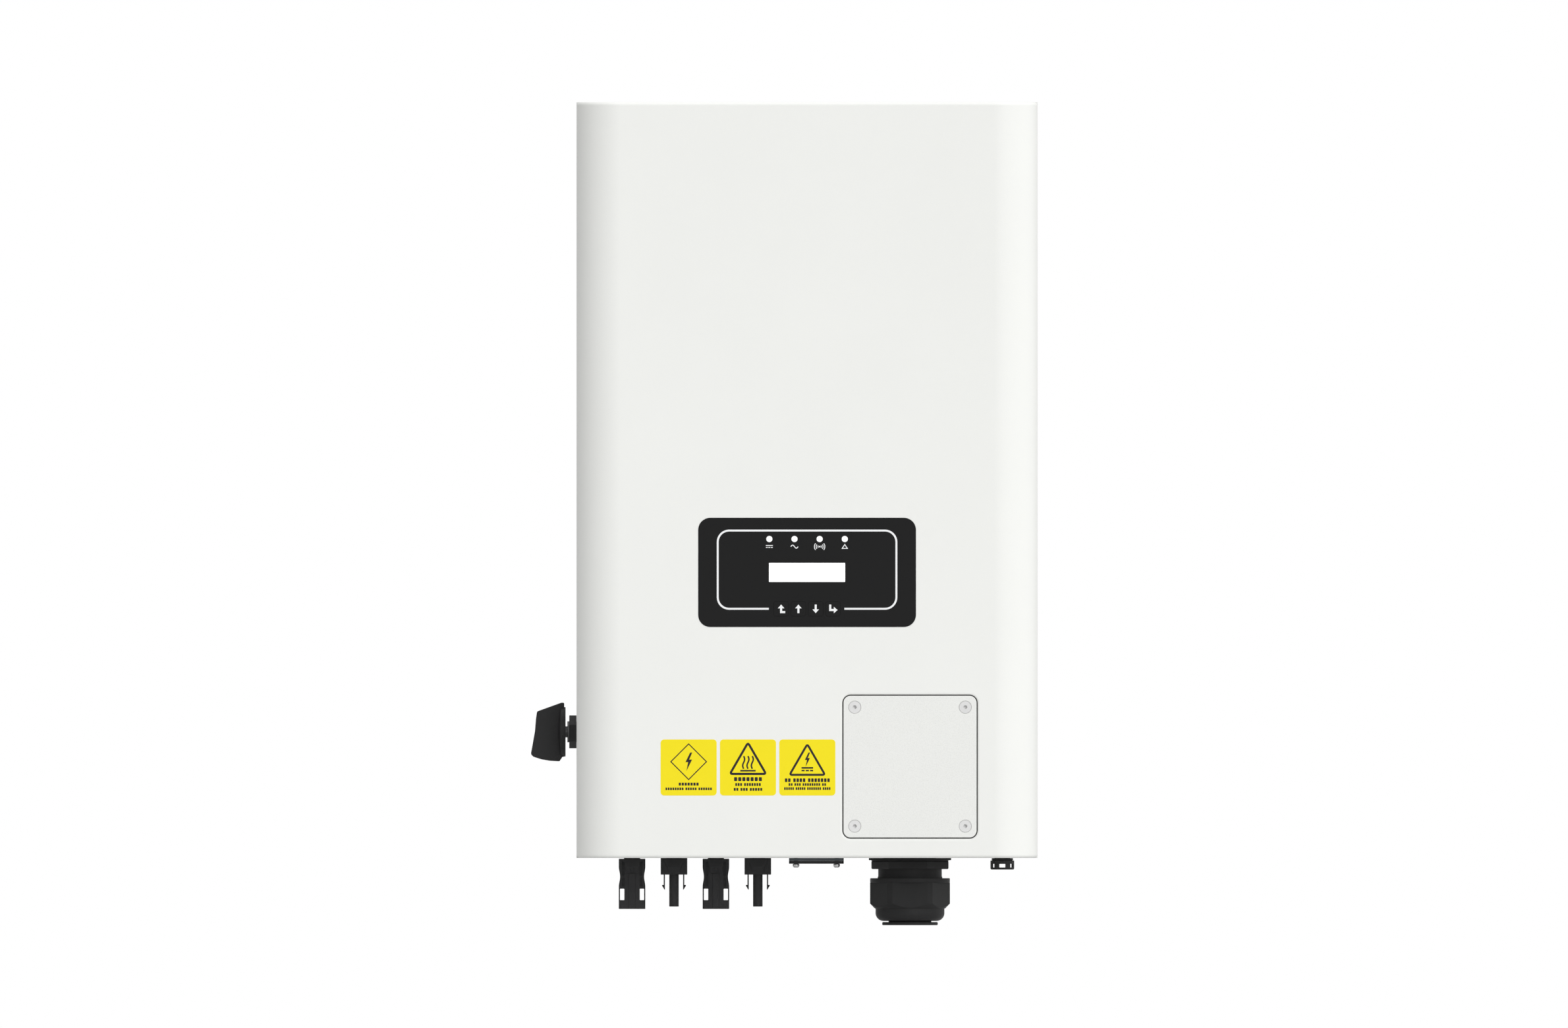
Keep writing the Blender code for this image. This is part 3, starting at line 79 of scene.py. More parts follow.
MM = 0.001
SLOTS = {part["node"]: part["material_slot"] for part in frame["record"]["subparts"]}
COVER_LOW, COVER_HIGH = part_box("front_cover")
FRONT, RIM = COVER_LOW.y, COVER_HIGH.y
LEFT, RIGHT = COVER_LOW.x, COVER_HIGH.x
BOTTOM, TOP = COVER_LOW.z, COVER_HIGH.z


def middle(node):
    """The centre of a CAD node's box."""
    low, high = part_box(node)
    return (low + high) / 2


def front_view(node):
    """The centre and the size of a CAD node seen from the front, as (x, z) pairs."""
    low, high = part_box(node)
    return ((low.x + high.x) / 2, (low.z + high.z) / 2), (high.x - low.x, high.z - low.z)


def grown(size, amount):
    return tuple(side + amount for side in size)


# ---- materials


class Material:
    """A node material, with short names for the nodes it is built from."""

    def __init__(self, name, colour, roughness, metallic=0.0, specular=0.5):
        self.material = bpy.data.materials.new(name)
        self.material.use_nodes = True
        self.tree = self.material.node_tree
        self.shader = self.tree.nodes["Principled BSDF"]
        self.shader.inputs["Base Color"].default_value = (*colour, 1)
        self.shader.inputs["Roughness"].default_value = roughness
        self.shader.inputs["Metallic"].default_value = metallic
        self.shader.inputs["Specular IOR Level"].default_value = specular
        self.place = self.tree.nodes.new("ShaderNodeTexCoord").outputs["Object"]

    def node(self, kind, inputs=None, **settings):
        made = self.tree.nodes.new(kind)
        for key, value in settings.items():
            setattr(made, key, value)
        for key, value in (inputs or {}).items():
            if isinstance(value, bpy.types.NodeSocket):
                self.tree.links.new(value, made.inputs[key])
            else:
                made.inputs[key].default_value = value
        return made

    def noise(self, scale, detail=2.0, roughness=0.5, stretch=None, distortion=0.0):
        place = self.place
        if stretch:
            place = self.node("ShaderNodeMapping", {"Vector": place, "Scale": stretch}).outputs[0]
        inputs = {"Vector": place, "Scale": scale, "Detail": detail, "Roughness": roughness}
        inputs["Distortion"] = distortion
        return self.node("ShaderNodeTexNoise", inputs).outputs["Fac"]

    def bricks(self, width, height, gap, **settings):
        """A brick pattern's mask, 1 in the gaps between its bricks."""
        inputs = {"Vector": self.place, "Scale": 1, "Mortar Size": gap}
        inputs |= {"Brick Width": width, "Row Height": height}
        return self.node("ShaderNodeTexBrick", inputs, **settings).outputs["Fac"]

    def between(self, factor, low, high):
        """A number that runs from low to high as factor runs from 0 to 1."""
        inputs = {"Value": factor, "To Min": low, "To Max": high}
        return self.node("ShaderNodeMapRange", inputs).outputs["Result"]

    def blend(self, factor, first, second, mode="MIX"):
        """A colour between two colours."""
        inputs = {0: factor}
        for socket, value in ((6, first), (7, second)):
            inputs[socket] = value if isinstance(value, bpy.types.NodeSocket) else (*value, 1)
        return self.node("ShaderNodeMix", inputs, data_type="RGBA", blend_type=mode).outputs[2]

    def ramp(self, factor, stops):
        made = self.node("ShaderNodeValToRGB", {"Fac": factor})
        ramp = made.color_ramp
        while len(ramp.elements) < len(stops):
            ramp.elements.new(0.5)
        for element, (position, value) in zip(ramp.elements, stops):
            element.position = position
            element.color = (*value, 1)
        return made.outputs["Color"]

    def bump(self, height, distance, strength):
        inputs = {"Height": height, "Distance": distance, "Strength": strength}
        return self.node("ShaderNodeBump", inputs).outputs["Normal"]

    def feed(self, **sockets):
        """Links outputs to the shader's inputs; an underscore in a name stands for a space."""
        for key, value in sockets.items():
            self.tree.links.new(value, self.shader.inputs[key.replace("_", " ")])
        return self.material


def tinted(colour, factor):
    return tuple(min(1.0, part * factor) for part in colour)


def powder_coat(name, colour, grain, depth, tone):
    """Paint that flowed into a fine orange peel, with a little soft unevenness."""
    m = Material(name, colour, 0.5, specular=0.4)
    cloud = m.noise(14, 3)
    peel = m.noise(grain, 2, 0.6)
    speck = m.noise(grain * 1.7, 1, 0.5)
    base = m.blend(cloud, tinted(colour, 0.985), tinted(colour, 1.015))
    fleck = m.ramp(speck, [(0.30, (1 - tone,) * 3), (0.55, (1, 1, 1))])
    return m.feed(
        Base_Color=m.blend(1, base, fleck, "MULTIPLY"),
        Roughness=m.between(peel, 0.42, 0.58),
        Normal=m.bump(peel, depth, 0.6),
    )


def moulded(name, colour, roughness, grain=900, depth=0.02 * MM, specular=0.5):
    """Moulded plastic: fine spark texture, faint flow marks and slightly uneven gloss."""
    m = Material(name, colour, roughness, specular=specular)
    flow = m.noise(35, 3, 0.5, (1, 1, 0.3), 0.6)
    spark = m.noise(grain, 3, 0.65)
    return m.feed(
        Base_Color=m.blend(flow, tinted(colour, 0.86), tinted(colour, 1.16)),
        Roughness=m.between(flow, roughness * 0.88, min(1, roughness * 1.14)),
        Normal=m.bump(spark, depth, 0.7),
    )


def metal(name, colour, roughness, stretch=(1, 1, 1), grain=600, depth=0.01 * MM, metallic=1.0):
    """Bare or plated metal with a drawn grain along its longest unstretched axis."""
    m = Material(name, colour, roughness, metallic)
    grain_lines = m.noise(grain, 4, 0.6, stretch)
    stain = m.noise(22, 4, 0.6)
    return m.feed(
        Base_Color=m.blend(stain, tinted(colour, 0.86), tinted(colour, 1.06)),
        Roughness=m.between(grain_lines, roughness * 0.75, roughness * 1.3),
        Normal=m.bump(grain_lines, depth, 0.5),
    )


def galvanised(name, colour, roughness):
    """Zinc-coated sheet with its soft crystal spangle."""
    m = Material(name, colour, roughness, metallic=1.0)
    spangle = m.node("ShaderNodeTexVoronoi", {"Vector": m.place, "Scale": 260}).outputs["Color"]
    shade = m.node("ShaderNodeSeparateColor", {"Color": spangle}).outputs[0]
    dust = m.noise(700, 3)
    return m.feed(
        Base_Color=m.blend(shade, tinted(colour, 0.84), tinted(colour, 1.08)),
        Roughness=m.between(shade, roughness * 0.8, roughness * 1.35),
        Normal=m.bump(dust, 0.01 * MM, 0.4),
    )


def board():
    """Green solder mask over a faint pattern of copper tracks."""
    m = Material("solder_mask", (0.02, 0.16, 0.07), 0.35)
    tracks = m.bricks(11 * MM, 1.9 * MM, 0.3 * MM)
    mask = m.blend(tracks, (0.012, 0.115, 0.045), (0.05, 0.27, 0.11))
    mottle = m.noise(120, 2)
    return m.feed(
        Base_Color=mask,
        Roughness=m.between(mottle, 0.28, 0.42),
        Normal=m.bump(tracks, 0.03 * MM, 0.5),
    )


def printed(name, colour, roughness=0.5, tone=0.04, specular=0.4):
    """Printed ink or film: an even colour with a faint screen-print mottle."""
    m = Material(name, colour, roughness, specular=specular)
    mottle = m.noise(1400, 2)
    soft = m.noise(60, 2)
    return m.feed(
        Base_Color=m.blend(mottle, tinted(colour, 1 - tone), tinted(colour, 1 + tone)),
        Roughness=m.between(soft, roughness * 0.9, roughness * 1.1),
        Normal=m.bump(mottle, 0.004 * MM, 0.3),
    )


def lit_display():
    """A backlit display: white light behind a faint grid of dots."""
    m = Material("lit_display", (0.8, 0.8, 0.8), 0.25)
    grid = m.bricks(0.6 * MM, 0.6 * MM, 0.06 * MM, offset=0)
    m.shader.inputs["Emission Strength"].default_value = 1.0
    glow = m.blend(grid, (1.0, 1.0, 1.0), (0.93, 0.94, 0.95))
    return m.feed(Emission_Color=glow, Base_Color=m.blend(grid, (0.8,) * 3, (0.7,) * 3))


def lens_painted_glow():
    """A milky lamp lens, with a faint painted glow from its emission that brightens the white plastic."""
    m = Material("lens_painted_glow", (0.95, 0.95, 0.94), 0.3)
    # Painted glow: this emission only lifts the milky plastic to bright white.
    m.shader.inputs["Emission Strength"].default_value = 0.35
    milk = m.noise(700, 2)
    return m.feed(
        Base_Color=m.blend(milk, (0.93, 0.93, 0.92), (0.97, 0.97, 0.96)),
        Emission_Color=m.blend(milk, (0.96, 0.96, 0.96), (1.0, 1.0, 1.0)),
    )


WHITE = (0.855, 0.862, 0.835)
COVER_PAINT = powder_coat("cover_paint", WHITE, 1500, 0.03 * MM, 0.02)
HATCH_PAINT = powder_coat("hatch_paint", tinted(WHITE, 0.968), 700, 0.09 * MM, 0.07)
CASTING_PAINT = powder_coat("casting_paint", tinted(WHITE, 0.97), 900, 0.06 * MM, 0.03)
FILM = printed("panel_film", (0.0115, 0.0115, 0.0117), 0.38, specular=0.1)
WHITE_INK = printed("white_ink", (0.88, 0.89, 0.90), 0.5, 0.02)
DARK_INK = printed("dark_ink", (0.022, 0.018, 0.021), 0.5, specular=0.2)
YELLOW_FILM = printed("yellow_film", (0.91, 0.76, 0.008), 0.4, 0.012, specular=0.2)
GLAND_PLASTIC = moulded("gland_polyamide", (0.030, 0.030, 0.0305), 0.42, 1100, 0.015 * MM, 0.07)
CONNECTOR_PLASTIC = moulded("connector_polyamide", (0.037, 0.037, 0.038), 0.5, 900, 0.03 * MM, 0.08)
KNOB_PLASTIC = moulded("knob_plastic", (0.028, 0.028, 0.0285), 0.46, 1200, 0.03 * MM, 0.12)
BLACK_PLASTIC = moulded("black_moulding", (0.037, 0.037, 0.0375), 0.5, specular=0.15)
GREY_PLASTIC = moulded("grey_moulding", (0.25, 0.26, 0.28), 0.5, 800)
SEAL_RUBBER = moulded("seal_rubber", (0.014, 0.014, 0.014), 0.72, 500, 0.05 * MM, 0.25)
PLUG_RUBBER = moulded("plug_rubber", (0.025, 0.025, 0.025), 0.55, 700, 0.02 * MM, 0.1)
SCREW_STEEL = metal("bright_screw_steel", (0.74, 0.74, 0.74), 0.24, grain=900)
HATCH_SCREW_STEEL = metal("satin_screw_steel", (0.74, 0.74, 0.735), 0.55, grain=900, metallic=0.35)
SHAFT_STEEL = metal("shaft_steel", (0.17, 0.17, 0.172), 0.45, grain=1500, depth=0.04 * MM)
SINK_ALUMINIUM = metal("extruded_aluminium", (0.78, 0.79, 0.80), 0.38, (1, 1, 0.02), 900)
BRACKET_STEEL = galvanised("zinc_sheet", (0.66, 0.67, 0.68), 0.36)
PORT_STEEL = metal("blued_steel", (0.045, 0.045, 0.046), 0.45, (1, 0.05, 1), 700)
PORT_SEAL = moulded("port_seal_rubber", (0.080, 0.092, 0.101), 0.6, 700, 0.05 * MM, 0.3)
BOARD = board()
LIT_DISPLAY = lit_display()
LENS_PAINTED_GLOW = lens_painted_glow()

SLOT_LOOKS = {
    "white_powder_coat": CASTING_PAINT,
    "rubber": SEAL_RUBBER,
    "plug_plastic": PLUG_RUBBER,
    "steel_screws": SCREW_STEEL,
    "hatch_screws": HATCH_SCREW_STEEL,
    "bare_aluminium": SINK_ALUMINIUM,
    "zinc_steel": BRACKET_STEEL,
    "black_plastic": BLACK_PLASTIC,
    "display_film": FILM,
    "clear_plastic": LENS_PAINTED_GLOW,
    "dark_steel": PORT_STEEL,
    "circuit_board": BOARD,
    "grey_plastic": GREY_PLASTIC,
    "gland_plastic": GLAND_PLASTIC,
    "connector_plastic": CONNECTOR_PLASTIC,
    "knob_plastic": KNOB_PLASTIC,
}
for name, node in frame["nodes"].items():
    look = SHAFT_STEEL if name == "dc_switch_shaft" else SLOT_LOOKS[SLOTS[name]]
    for material_slot in node.material_slots:
        material_slot.material = look


# ---- mesh helpers

PLANES = {"X": ((0, 1, 0), (0, 0, 1)), "Y": ((1, 0, 0), (0, 0, 1)), "Z": ((1, 0, 0), (0, 1, 0))}
AXES = {"X": (1, 0, 0), "Y": (0, 1, 0), "Z": (0, 0, 1)}


def spot(axis, u, v, w):
    """The point at w along an axis and at (u, v) in the plane across it."""
    across, up = (Vector(side) for side in PLANES[axis])
    return across * u + up * v + Vector(AXES[axis]) * w


def solid(name, points, faces):
    mesh = bpy.data.meshes.new(name)
    mesh.from_pydata([tuple(point) for point in points], [], faces)
    bm = bmesh.new()
    bm.from_mesh(mesh)
    bmesh.ops.remove_doubles(bm, verts=bm.verts, dist=1e-7)
    bmesh.ops.recalc_face_normals(bm, faces=bm.faces)
    bm.to_mesh(mesh)
    bm.free()
    made = bpy.data.objects.new(name, mesh)
    bpy.context.scene.collection.objects.link(made)
    return made


def loft(name, rings, capped=True):
    """A closed solid through rings of equal length."""
    count = len(rings[0])
    points = [point for ring in rings for point in ring]
    faces = []
    for k in range(len(rings) - 1):
        for i in range(count):
            j = (i + 1) % count
            faces.append((k * count + i, k * count + j, (k + 1) * count + j, (k + 1) * count + i))
    if capped:
        faces.append(tuple(range(count)))
        faces.append(tuple(range(len(points) - count, len(points))))
    return solid(name, points, faces)


def arc(centre, radius, start, end, segments):
    """Points on an arc, with its angles in degrees."""
    points = []
    for i in range(segments + 1):
        angle = math.radians(start + (end - start) * i / segments)
        points.append((centre[0] + radius * math.cos(angle), centre[1] + radius * math.sin(angle)))
    return points


def rounded_rectangle(centre, size, radius, segments=10):
    half_width, half_height = size[0] / 2 - radius, size[1] / 2 - radius
    points = []
    for k, (su, sv) in enumerate(((1, 1), (-1, 1), (-1, -1), (1, -1))):
        corner = (centre[0] + su * half_width, centre[1] + sv * half_height)
        points += arc(corner, radius, 90 * k, 90 * k + 90, segments)
    return points


def softened(points, radius, segments=4):
    """The same closed outline with each corner rounded, as far as its sides have room.

    A point may carry its own radius as a third number.
    """
    outline = []
    for i, point in enumerate(points):
        here, before, after = (Vector(points[k][:2]) for k in (i, i - 1, (i + 1) % len(points)))
        reach = point[2] if len(point) > 2 else radius
        back, on = before - here, after - here
        reach = min(reach, 0.48 * back.length, 0.48 * on.length)
        if reach < 1e-6:
            outline.append(tuple(here))
            continue
        start, end = here + back.normalized() * reach, here + on.normalized() * reach
        for k in range(segments + 1):
            t = k / segments
            outline.append(tuple(start * (1 - t) ** 2 + here * 2 * t * (1 - t) + end * t**2))
    return outline


def slab(name, axis, centre, size, radius, levels, segments=10):
    """A rounded rectangle carried along an axis: levels are (place on the axis, inset)."""
    rings = []
    for w, inset in levels:
        shrunk = (size[0] - 2 * inset, size[1] - 2 * inset)
        outline = rounded_rectangle(centre, shrunk, max(radius - inset, 0.05 * MM), segments)
        rings.append([spot(axis, u, v, w) for u, v in outline])
    return loft(name, rings)


def prism(name, axis, outline, low, high):
    return loft(name, [[spot(axis, u, v, w) for u, v in outline] for w in (low, high)])


def block(name, low, high):
    outline = [(low[0], low[2]), (high[0], low[2]), (high[0], high[2]), (low[0], high[2])]
    return prism(name, "Y", outline, low[1], high[1])


def turned(name, profile, origin, axis, steps=64, turn=0.0):
    """A turned shape: (radius, height) points, with the height along axis from origin."""
    direction = Vector(AXES[axis[1]]) * (1 if axis[0] == "+" else -1)
    across, up = (Vector(side) for side in PLANES[axis[1]])
    loop = list(profile)
    if profile[0][0] > 0:
        loop.append(profile[0])
    rings = []
    for radius, height in loop:
        ring = []
        for i in range(steps):
            angle = 2 * math.pi * i / steps + turn
            out = across * math.cos(angle) + up * math.sin(angle)
            ring.append(Vector(origin) + out * radius + direction * height)
        rings.append(ring)
    return loft(name, rings, capped=False)


def in_mm(profile):
    """A profile written in millimetres, as metres."""
    return [(radius * MM, height * MM) for radius, height in profile]


def rod(name, origin, axis, length, radius, steps=48, turn=0.0):
    return turned(name, [(0, 0), (radius, 0), (radius, length), (0, length)], origin, axis, steps, turn)


def apply(made):
    """Makes the modifiers' result the object's own mesh."""
    bpy.context.view_layer.update()
    shape = made.evaluated_get(bpy.context.evaluated_depsgraph_get())
    mesh = bpy.data.meshes.new_from_object(shape)
    made.modifiers.clear()
    made.data = mesh
    return made


def combine(made, operation, others):
    for other in others:
        step = made.modifiers.new(operation, "BOOLEAN")
        step.operation = operation
        step.solver = "EXACT"
        step.object = other
    apply(made)
    for other in others:
        bpy.data.objects.remove(other)
    return made


def cut(made, *others):
    return combine(made, "DIFFERENCE", others)


def join(made, *others):
    return combine(made, "UNION", others)


def bevel(made, width, segments=2, angle=30):
    step = made.modifiers.new("edges", "BEVEL")
    step.width = width
    step.segments = segments
    step.limit_method = "ANGLE"
    step.angle_limit = math.radians(angle)
    return apply(made)


def piece(made, material, body, slot, *nodes, sharp=35):
    """Paints and smooths a piece, ties it to its body and hides the CAD nodes it stands for. The slot is not
    used.
    """
    made.data.materials.clear()
    made.data.materials.append(material)
    for face in made.data.polygons:
        face.use_smooth = True
    made.data.set_sharp_from_angle(angle=math.radians(sharp))
    weigh = made.modifiers.new("normals", "WEIGHTED_NORMAL")
    weigh.keep_sharp = True
    apply(made)
    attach(made, body)
    if nodes:
        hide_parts(*nodes)
    return made


def stand_in(made, material, node, sharp=35):
    """A piece in place of one CAD node, on the same body, with the node hidden."""
    return piece(made, material, frame["nodes"][node]["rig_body"], SLOTS[node], node, sharp=sharp)


LONG_EDGE = 12 * MM
FLAT_ANGLE = math.radians(1)


def eased(node, width):
    """A copy of a CAD piece with its long outer edges broken by a small round."""
    source = frame["nodes"][node]
    made = bpy.data.objects.new(node + "_fine", source.data.copy())
    bpy.context.scene.collection.objects.link(made)
    made.data.transform(source.matrix_world)
    mesh = bmesh.new()
    mesh.from_mesh(made.data)
    bmesh.ops.remove_doubles(mesh, verts=mesh.verts, dist=1e-6)
    bmesh.ops.dissolve_limit(mesh, angle_limit=FLAT_ANGLE, verts=mesh.verts, edges=mesh.edges)
    outer = [edge for edge in mesh.edges if edge.is_manifold and edge.is_convex]
    outer = [edge for edge in outer if edge.calc_face_angle() > 1 and edge.calc_length() > LONG_EDGE]
    bmesh.ops.bevel(
        mesh, geom=outer, offset=width, segments=3, profile=0.5, affect="EDGES", clamp_overlap=True
    )
    mesh.to_mesh(made.data)
    mesh.free()
    return made


# ---- flat marks


class Marks:
    """Printed marks: many thin closed solids on one face, gathered in one mesh."""

    def __init__(self, front, back):
        self.front, self.back = front, back
        self.points, self.faces = [], []

    def shape(self, outline):
        start, count = len(self.points), len(outline)
        for y in (self.front, self.back):
            self.points += [(x, y, z) for x, z in outline]
        self.faces.append(tuple(range(start, start + count)))
        self.faces.append(tuple(range(start + count, start + 2 * count)))
        for i in range(count):
            j = (i + 1) % count
            self.faces.append((start + i, start + j, start + count + j, start + count + i))

    def bar(self, centre, width, height):
        self.shape(rounded_rectangle(centre, (width, height), min(width, height) * 0.2, 3))

    def disc(self, centre, radius):
        self.shape(arc(centre, radius, 0, 360 - 15, 23))

    def line(self, path, width, closed=False):
        """A stroke of even width, mitred at its corners."""
        count = len(path)
        sides = []
        for i in range(count):
            here = Vector(path[i])
            before = Vector(path[i - 1]) if closed or i else None
            after = Vector(path[(i + 1) % count]) if closed or i < count - 1 else None
            ways = [here - before] if before else []
            ways += [after - here] if after else []
            normals = [Vector((-way.y, way.x)).normalized() for way in ways]
            mean = sum(normals, Vector((0, 0))).normalized()
            reach = width / 2 / max(0.35, mean.dot(normals[0]))
            sides.append((here + mean * reach, here - mean * reach))
        start = len(self.points)
        for left, right in sides:
            for point, y in ((left, self.front), (right, self.front), (right, self.back), (left, self.back)):
                self.points.append((point.x, y, point.y))
        spans = count if closed else count - 1
        for i in range(spans):
            a, b = start + 4 * i, start + 4 * ((i + 1) % count)
            for k in range(4):
                m = (k + 1) % 4
                self.faces.append((a + k, a + m, b + m, b + k))
        if not closed:
            last = start + 4 * (count - 1)
            self.faces.append(tuple(range(start, start + 4)))
            self.faces.append(tuple(range(last, last + 4)))

    def made(self, name):
        return solid(name, self.points, self.faces)


# ---- cover and hatch

COVER_RADIUS = 33 * MM
COVER_FILLET = 2.5 * MM
COVER_SHEET = 2.5 * MM
HATCH_MIDDLE, HATCH_SIZE = front_view("wiring_hatch")
HATCH_PLATE = grown(HATCH_SIZE, -0.9 * MM)
PANEL_MIDDLE, PANEL_SIZE = front_view("display_panel")
HATCH_SCREWS = [f"hatch_screw_{a}_{b}" for a in ("top", "bottom") for b in ("left", "right")]
COVER_SCREWS = [f"cover_screw_{a}_{b}" for a in ("left", "right") for b in ("upper", "lower")]


def cover_plan(inset, rim):
    """The cover's outline seen from above, with its two round front corners."""
    radius = COVER_RADIUS - inset
    left = (LEFT + COVER_RADIUS, FRONT + COVER_RADIUS)
    right = (RIGHT - COVER_RADIUS, FRONT + COVER_RADIUS)
    corners = arc(left, radius, 180, 270, 28) + arc(right, radius, 270, 360, 28)
    return [(LEFT + inset, rim), *corners, (RIGHT - inset, rim)]


def cover_block(name, inset, rim, fillet):
    """A solid with the cover's outline and a fillet along its upper and lower edges."""
    steps = []
    for k in range(9):
        angle = math.radians(90 * k / 8)
        steps.append((fillet * (1 - math.sin(angle)), fillet * (1 - math.cos(angle))))
    levels = [(shrink, BOTTOM + inset + rise) for shrink, rise in steps]
    levels += [(shrink, TOP - inset - rise) for shrink, rise in reversed(steps)]
    rings = []
    for shrink, z in levels:
        rings.append([Vector((x, y, z)) for x, y in cover_plan(inset + shrink, rim)])
    return loft(name, rings)


def screw_seat(screw):
    """Where a flush screw's head ends, the axis into the sheet, the head's radius and the length."""
    low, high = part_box(screw)
    centre, size = (low + high) / 2, high - low
    if size.y > size.x:
        return (centre.x, low.y, centre.z), "+Y", size.x / 2, size.y
    if centre.x < 0:
        return (low.x, centre.y, centre.z), "+X", size.y / 2, size.x
    return (high.x, centre.y, centre.z), "-X", size.y / 2, size.x


def countersink(screw):
    """The hole that a flush screw sits in."""
    origin, axis, head, _ = screw_seat(screw)
    rim, start, end = head + 0.2 * MM, -2.1 * MM, 12.9 * MM
    profile = [(0, start), (rim, start), (rim, 0.4 * MM), (head / 2, head / 2 + 0.6 * MM)]
    return turned("countersink", [*profile, (head / 2, end), (0, end)], origin, axis, 48)


def build_cover():
    cover = cover_block("cover_skin", 0, RIM, COVER_FILLET)
    cut(cover, cover_block("hollow", COVER_SHEET, RIM + 1 * MM, 0.5 * MM))
    x, z = HATCH_MIDDLE
    half_x, half_z = (side / 2 + 5 * MM for side in HATCH_SIZE)
    frame_back = FRONT + 9.1 * MM
    low = (x - half_x, FRONT + 1 * MM, z - half_z)
    join(cover, block("hatch_frame", low, (x + half_x, frame_back, z + half_z)))
    outside = FRONT - 2 * MM
    hatch_gap, display_gap, flare, mouth, sag = 0.3 * MM, 0.15 * MM, 0.1 * MM, 1.7 * MM, 1.1 * MM
    pocket = [(outside, -mouth)]
    for k in range(7):
        angle = math.radians(15 * k)
        pocket.append((FRONT + sag * (1 - math.cos(angle)), -mouth * (1 - math.sin(angle))))
    pocket.append((FRONT + 4.1 * MM, 0))
    hatch_pocket, hatch_opening = grown(HATCH_SIZE, 2 * hatch_gap), grown(HATCH_SIZE, -27 * MM)
    recess = [(outside, -flare), (FRONT, -flare), (FRONT + flare, 0), (FRONT + 1.6 * MM, 0)]
    display_pocket = grown(PANEL_SIZE, 2 * display_gap)
    window = (PANEL_SIZE[0] - 20 * MM, PANEL_SIZE[1] - 11 * MM)
    behind_frame = [(outside, 0), (frame_back + 1 * MM, 0)]
    behind_panel = [(outside, 0), (FRONT + 6 * MM, 0)]
    cutters = [
        slab("hatch_pocket", "Y", HATCH_MIDDLE, hatch_pocket, 6.3 * MM, pocket),
        slab("hatch_opening", "Y", HATCH_MIDDLE, hatch_opening, 5 * MM, behind_frame),
        slab("display_pocket", "Y", PANEL_MIDDLE, display_pocket, 9.4 * MM, recess),
        slab("display_opening", "Y", PANEL_MIDDLE, window, 4 * MM, behind_panel),
    ]
    cutters += [countersink(screw) for screw in COVER_SCREWS]
    for screw in HATCH_SCREWS:
        centre = middle(screw)
        start = (centre.x, FRONT + 2 * MM, centre.z)
        cutters.append(rod("tap", start, "+Y", 9 * MM, 2.6 * MM, 24))
    cut(cover, *cutters)
    stand_in(cover, COVER_PAINT, "front_cover")


def build_hatch():
    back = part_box("wiring_hatch")[1].y
    levels = [(back, 0), (FRONT + 0.5 * MM, 0), (FRONT + 0.25 * MM, 0.07 * MM)]
    levels += [(FRONT + 0.07 * MM, 0.25 * MM), (FRONT, 0.5 * MM)]
    plate = slab("hatch_plate", "Y", HATCH_MIDDLE, HATCH_PLATE, 5.4 * MM, levels)
    cut(plate, *[countersink(screw) for screw in HATCH_SCREWS])
    stand_in(plate, HATCH_PAINT, "wiring_hatch")

    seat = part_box("hatch_seal")[1].y
    around, under = grown(HATCH_PLATE, 1.44 * MM), grown(HATCH_PLATE, 0.06 * MM)
    inner = grown(HATCH_SIZE, -26 * MM)
    # The seal's lip stands 0.75 mm behind the front and reaches into the gap round the plate: its black
    # rubber is the real seal and also painted shade that darkens the gap line.
    gap_shade_lip = [(FRONT + 0.75 * MM, 0), (seat, 0)]
    seal = slab("hatch_seal_fine", "Y", HATCH_MIDDLE, around, 6.0 * MM, gap_shade_lip)
    bed = [(FRONT - 1 * MM, 0), (back + 0.1 * MM, 0)]
    hole = [(FRONT - 1 * MM, 0), (seat + 1 * MM, 0)]
    cutters = [slab("bed", "Y", HATCH_MIDDLE, under, 5.4 * MM, bed)]
    cutters.append(slab("hole", "Y", HATCH_MIDDLE, inner, 4 * MM, hole))
    for screw in HATCH_SCREWS:
        at = middle(screw)
        cutters.append(rod("passage", (at.x, back - 1 * MM, at.z), "+Y", 5 * MM, 3.2 * MM, 24))
    cut(seal, *cutters)
    stand_in(seal, SEAL_RUBBER, "hatch_seal")


def build_flush_screw(node, material, socket_across):
    """A countersunk screw with a hexagon socket."""
    origin, axis, head, length = screw_seat(node)
    shank, round_off = head / 2, 0.3 * MM
    profile = [(0, 0), (head - round_off, 0)]
    profile += [(head, round_off), (head, 0.55 * MM), (shank, head - shank + 0.55 * MM)]
    profile += [(shank, length - 0.4 * MM), (shank - 0.4 * MM, length), (0, length)]
    screw = turned(node + "_fine", profile, origin, axis, 48)
    socket = socket_across / math.sqrt(3)
    hexagon = [(0, -1 * MM), (socket, -1 * MM), (socket, 2.2 * MM), (0, 2.8 * MM)]
    cut(screw, turned("socket", hexagon, origin, axis, 6))
    stand_in(screw, material, node)


# ---- display and keys

INK_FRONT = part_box("display_panel")[0].y
FILM_FRONT = INK_FRONT + 0.06 * MM
KEYS = ("key_back", "key_up", "key_down", "key_enter")
KEY_CAP = 11.4 * MM
KEY_GAP = 0.05 * MM
LAMP_PITCH = 19.2 * MM
LAMP_XS = [(i - 1.5) * LAMP_PITCH for i in range(4)]
LAMP_Z = middle("indicator_light_guide").z
LAMP_RADIUS = 2.35 * MM
WINDOW_SIZE = (58.1 * MM, 14.5 * MM)
FRAME_LINE = (136.4 * MM, 59.7 * MM)


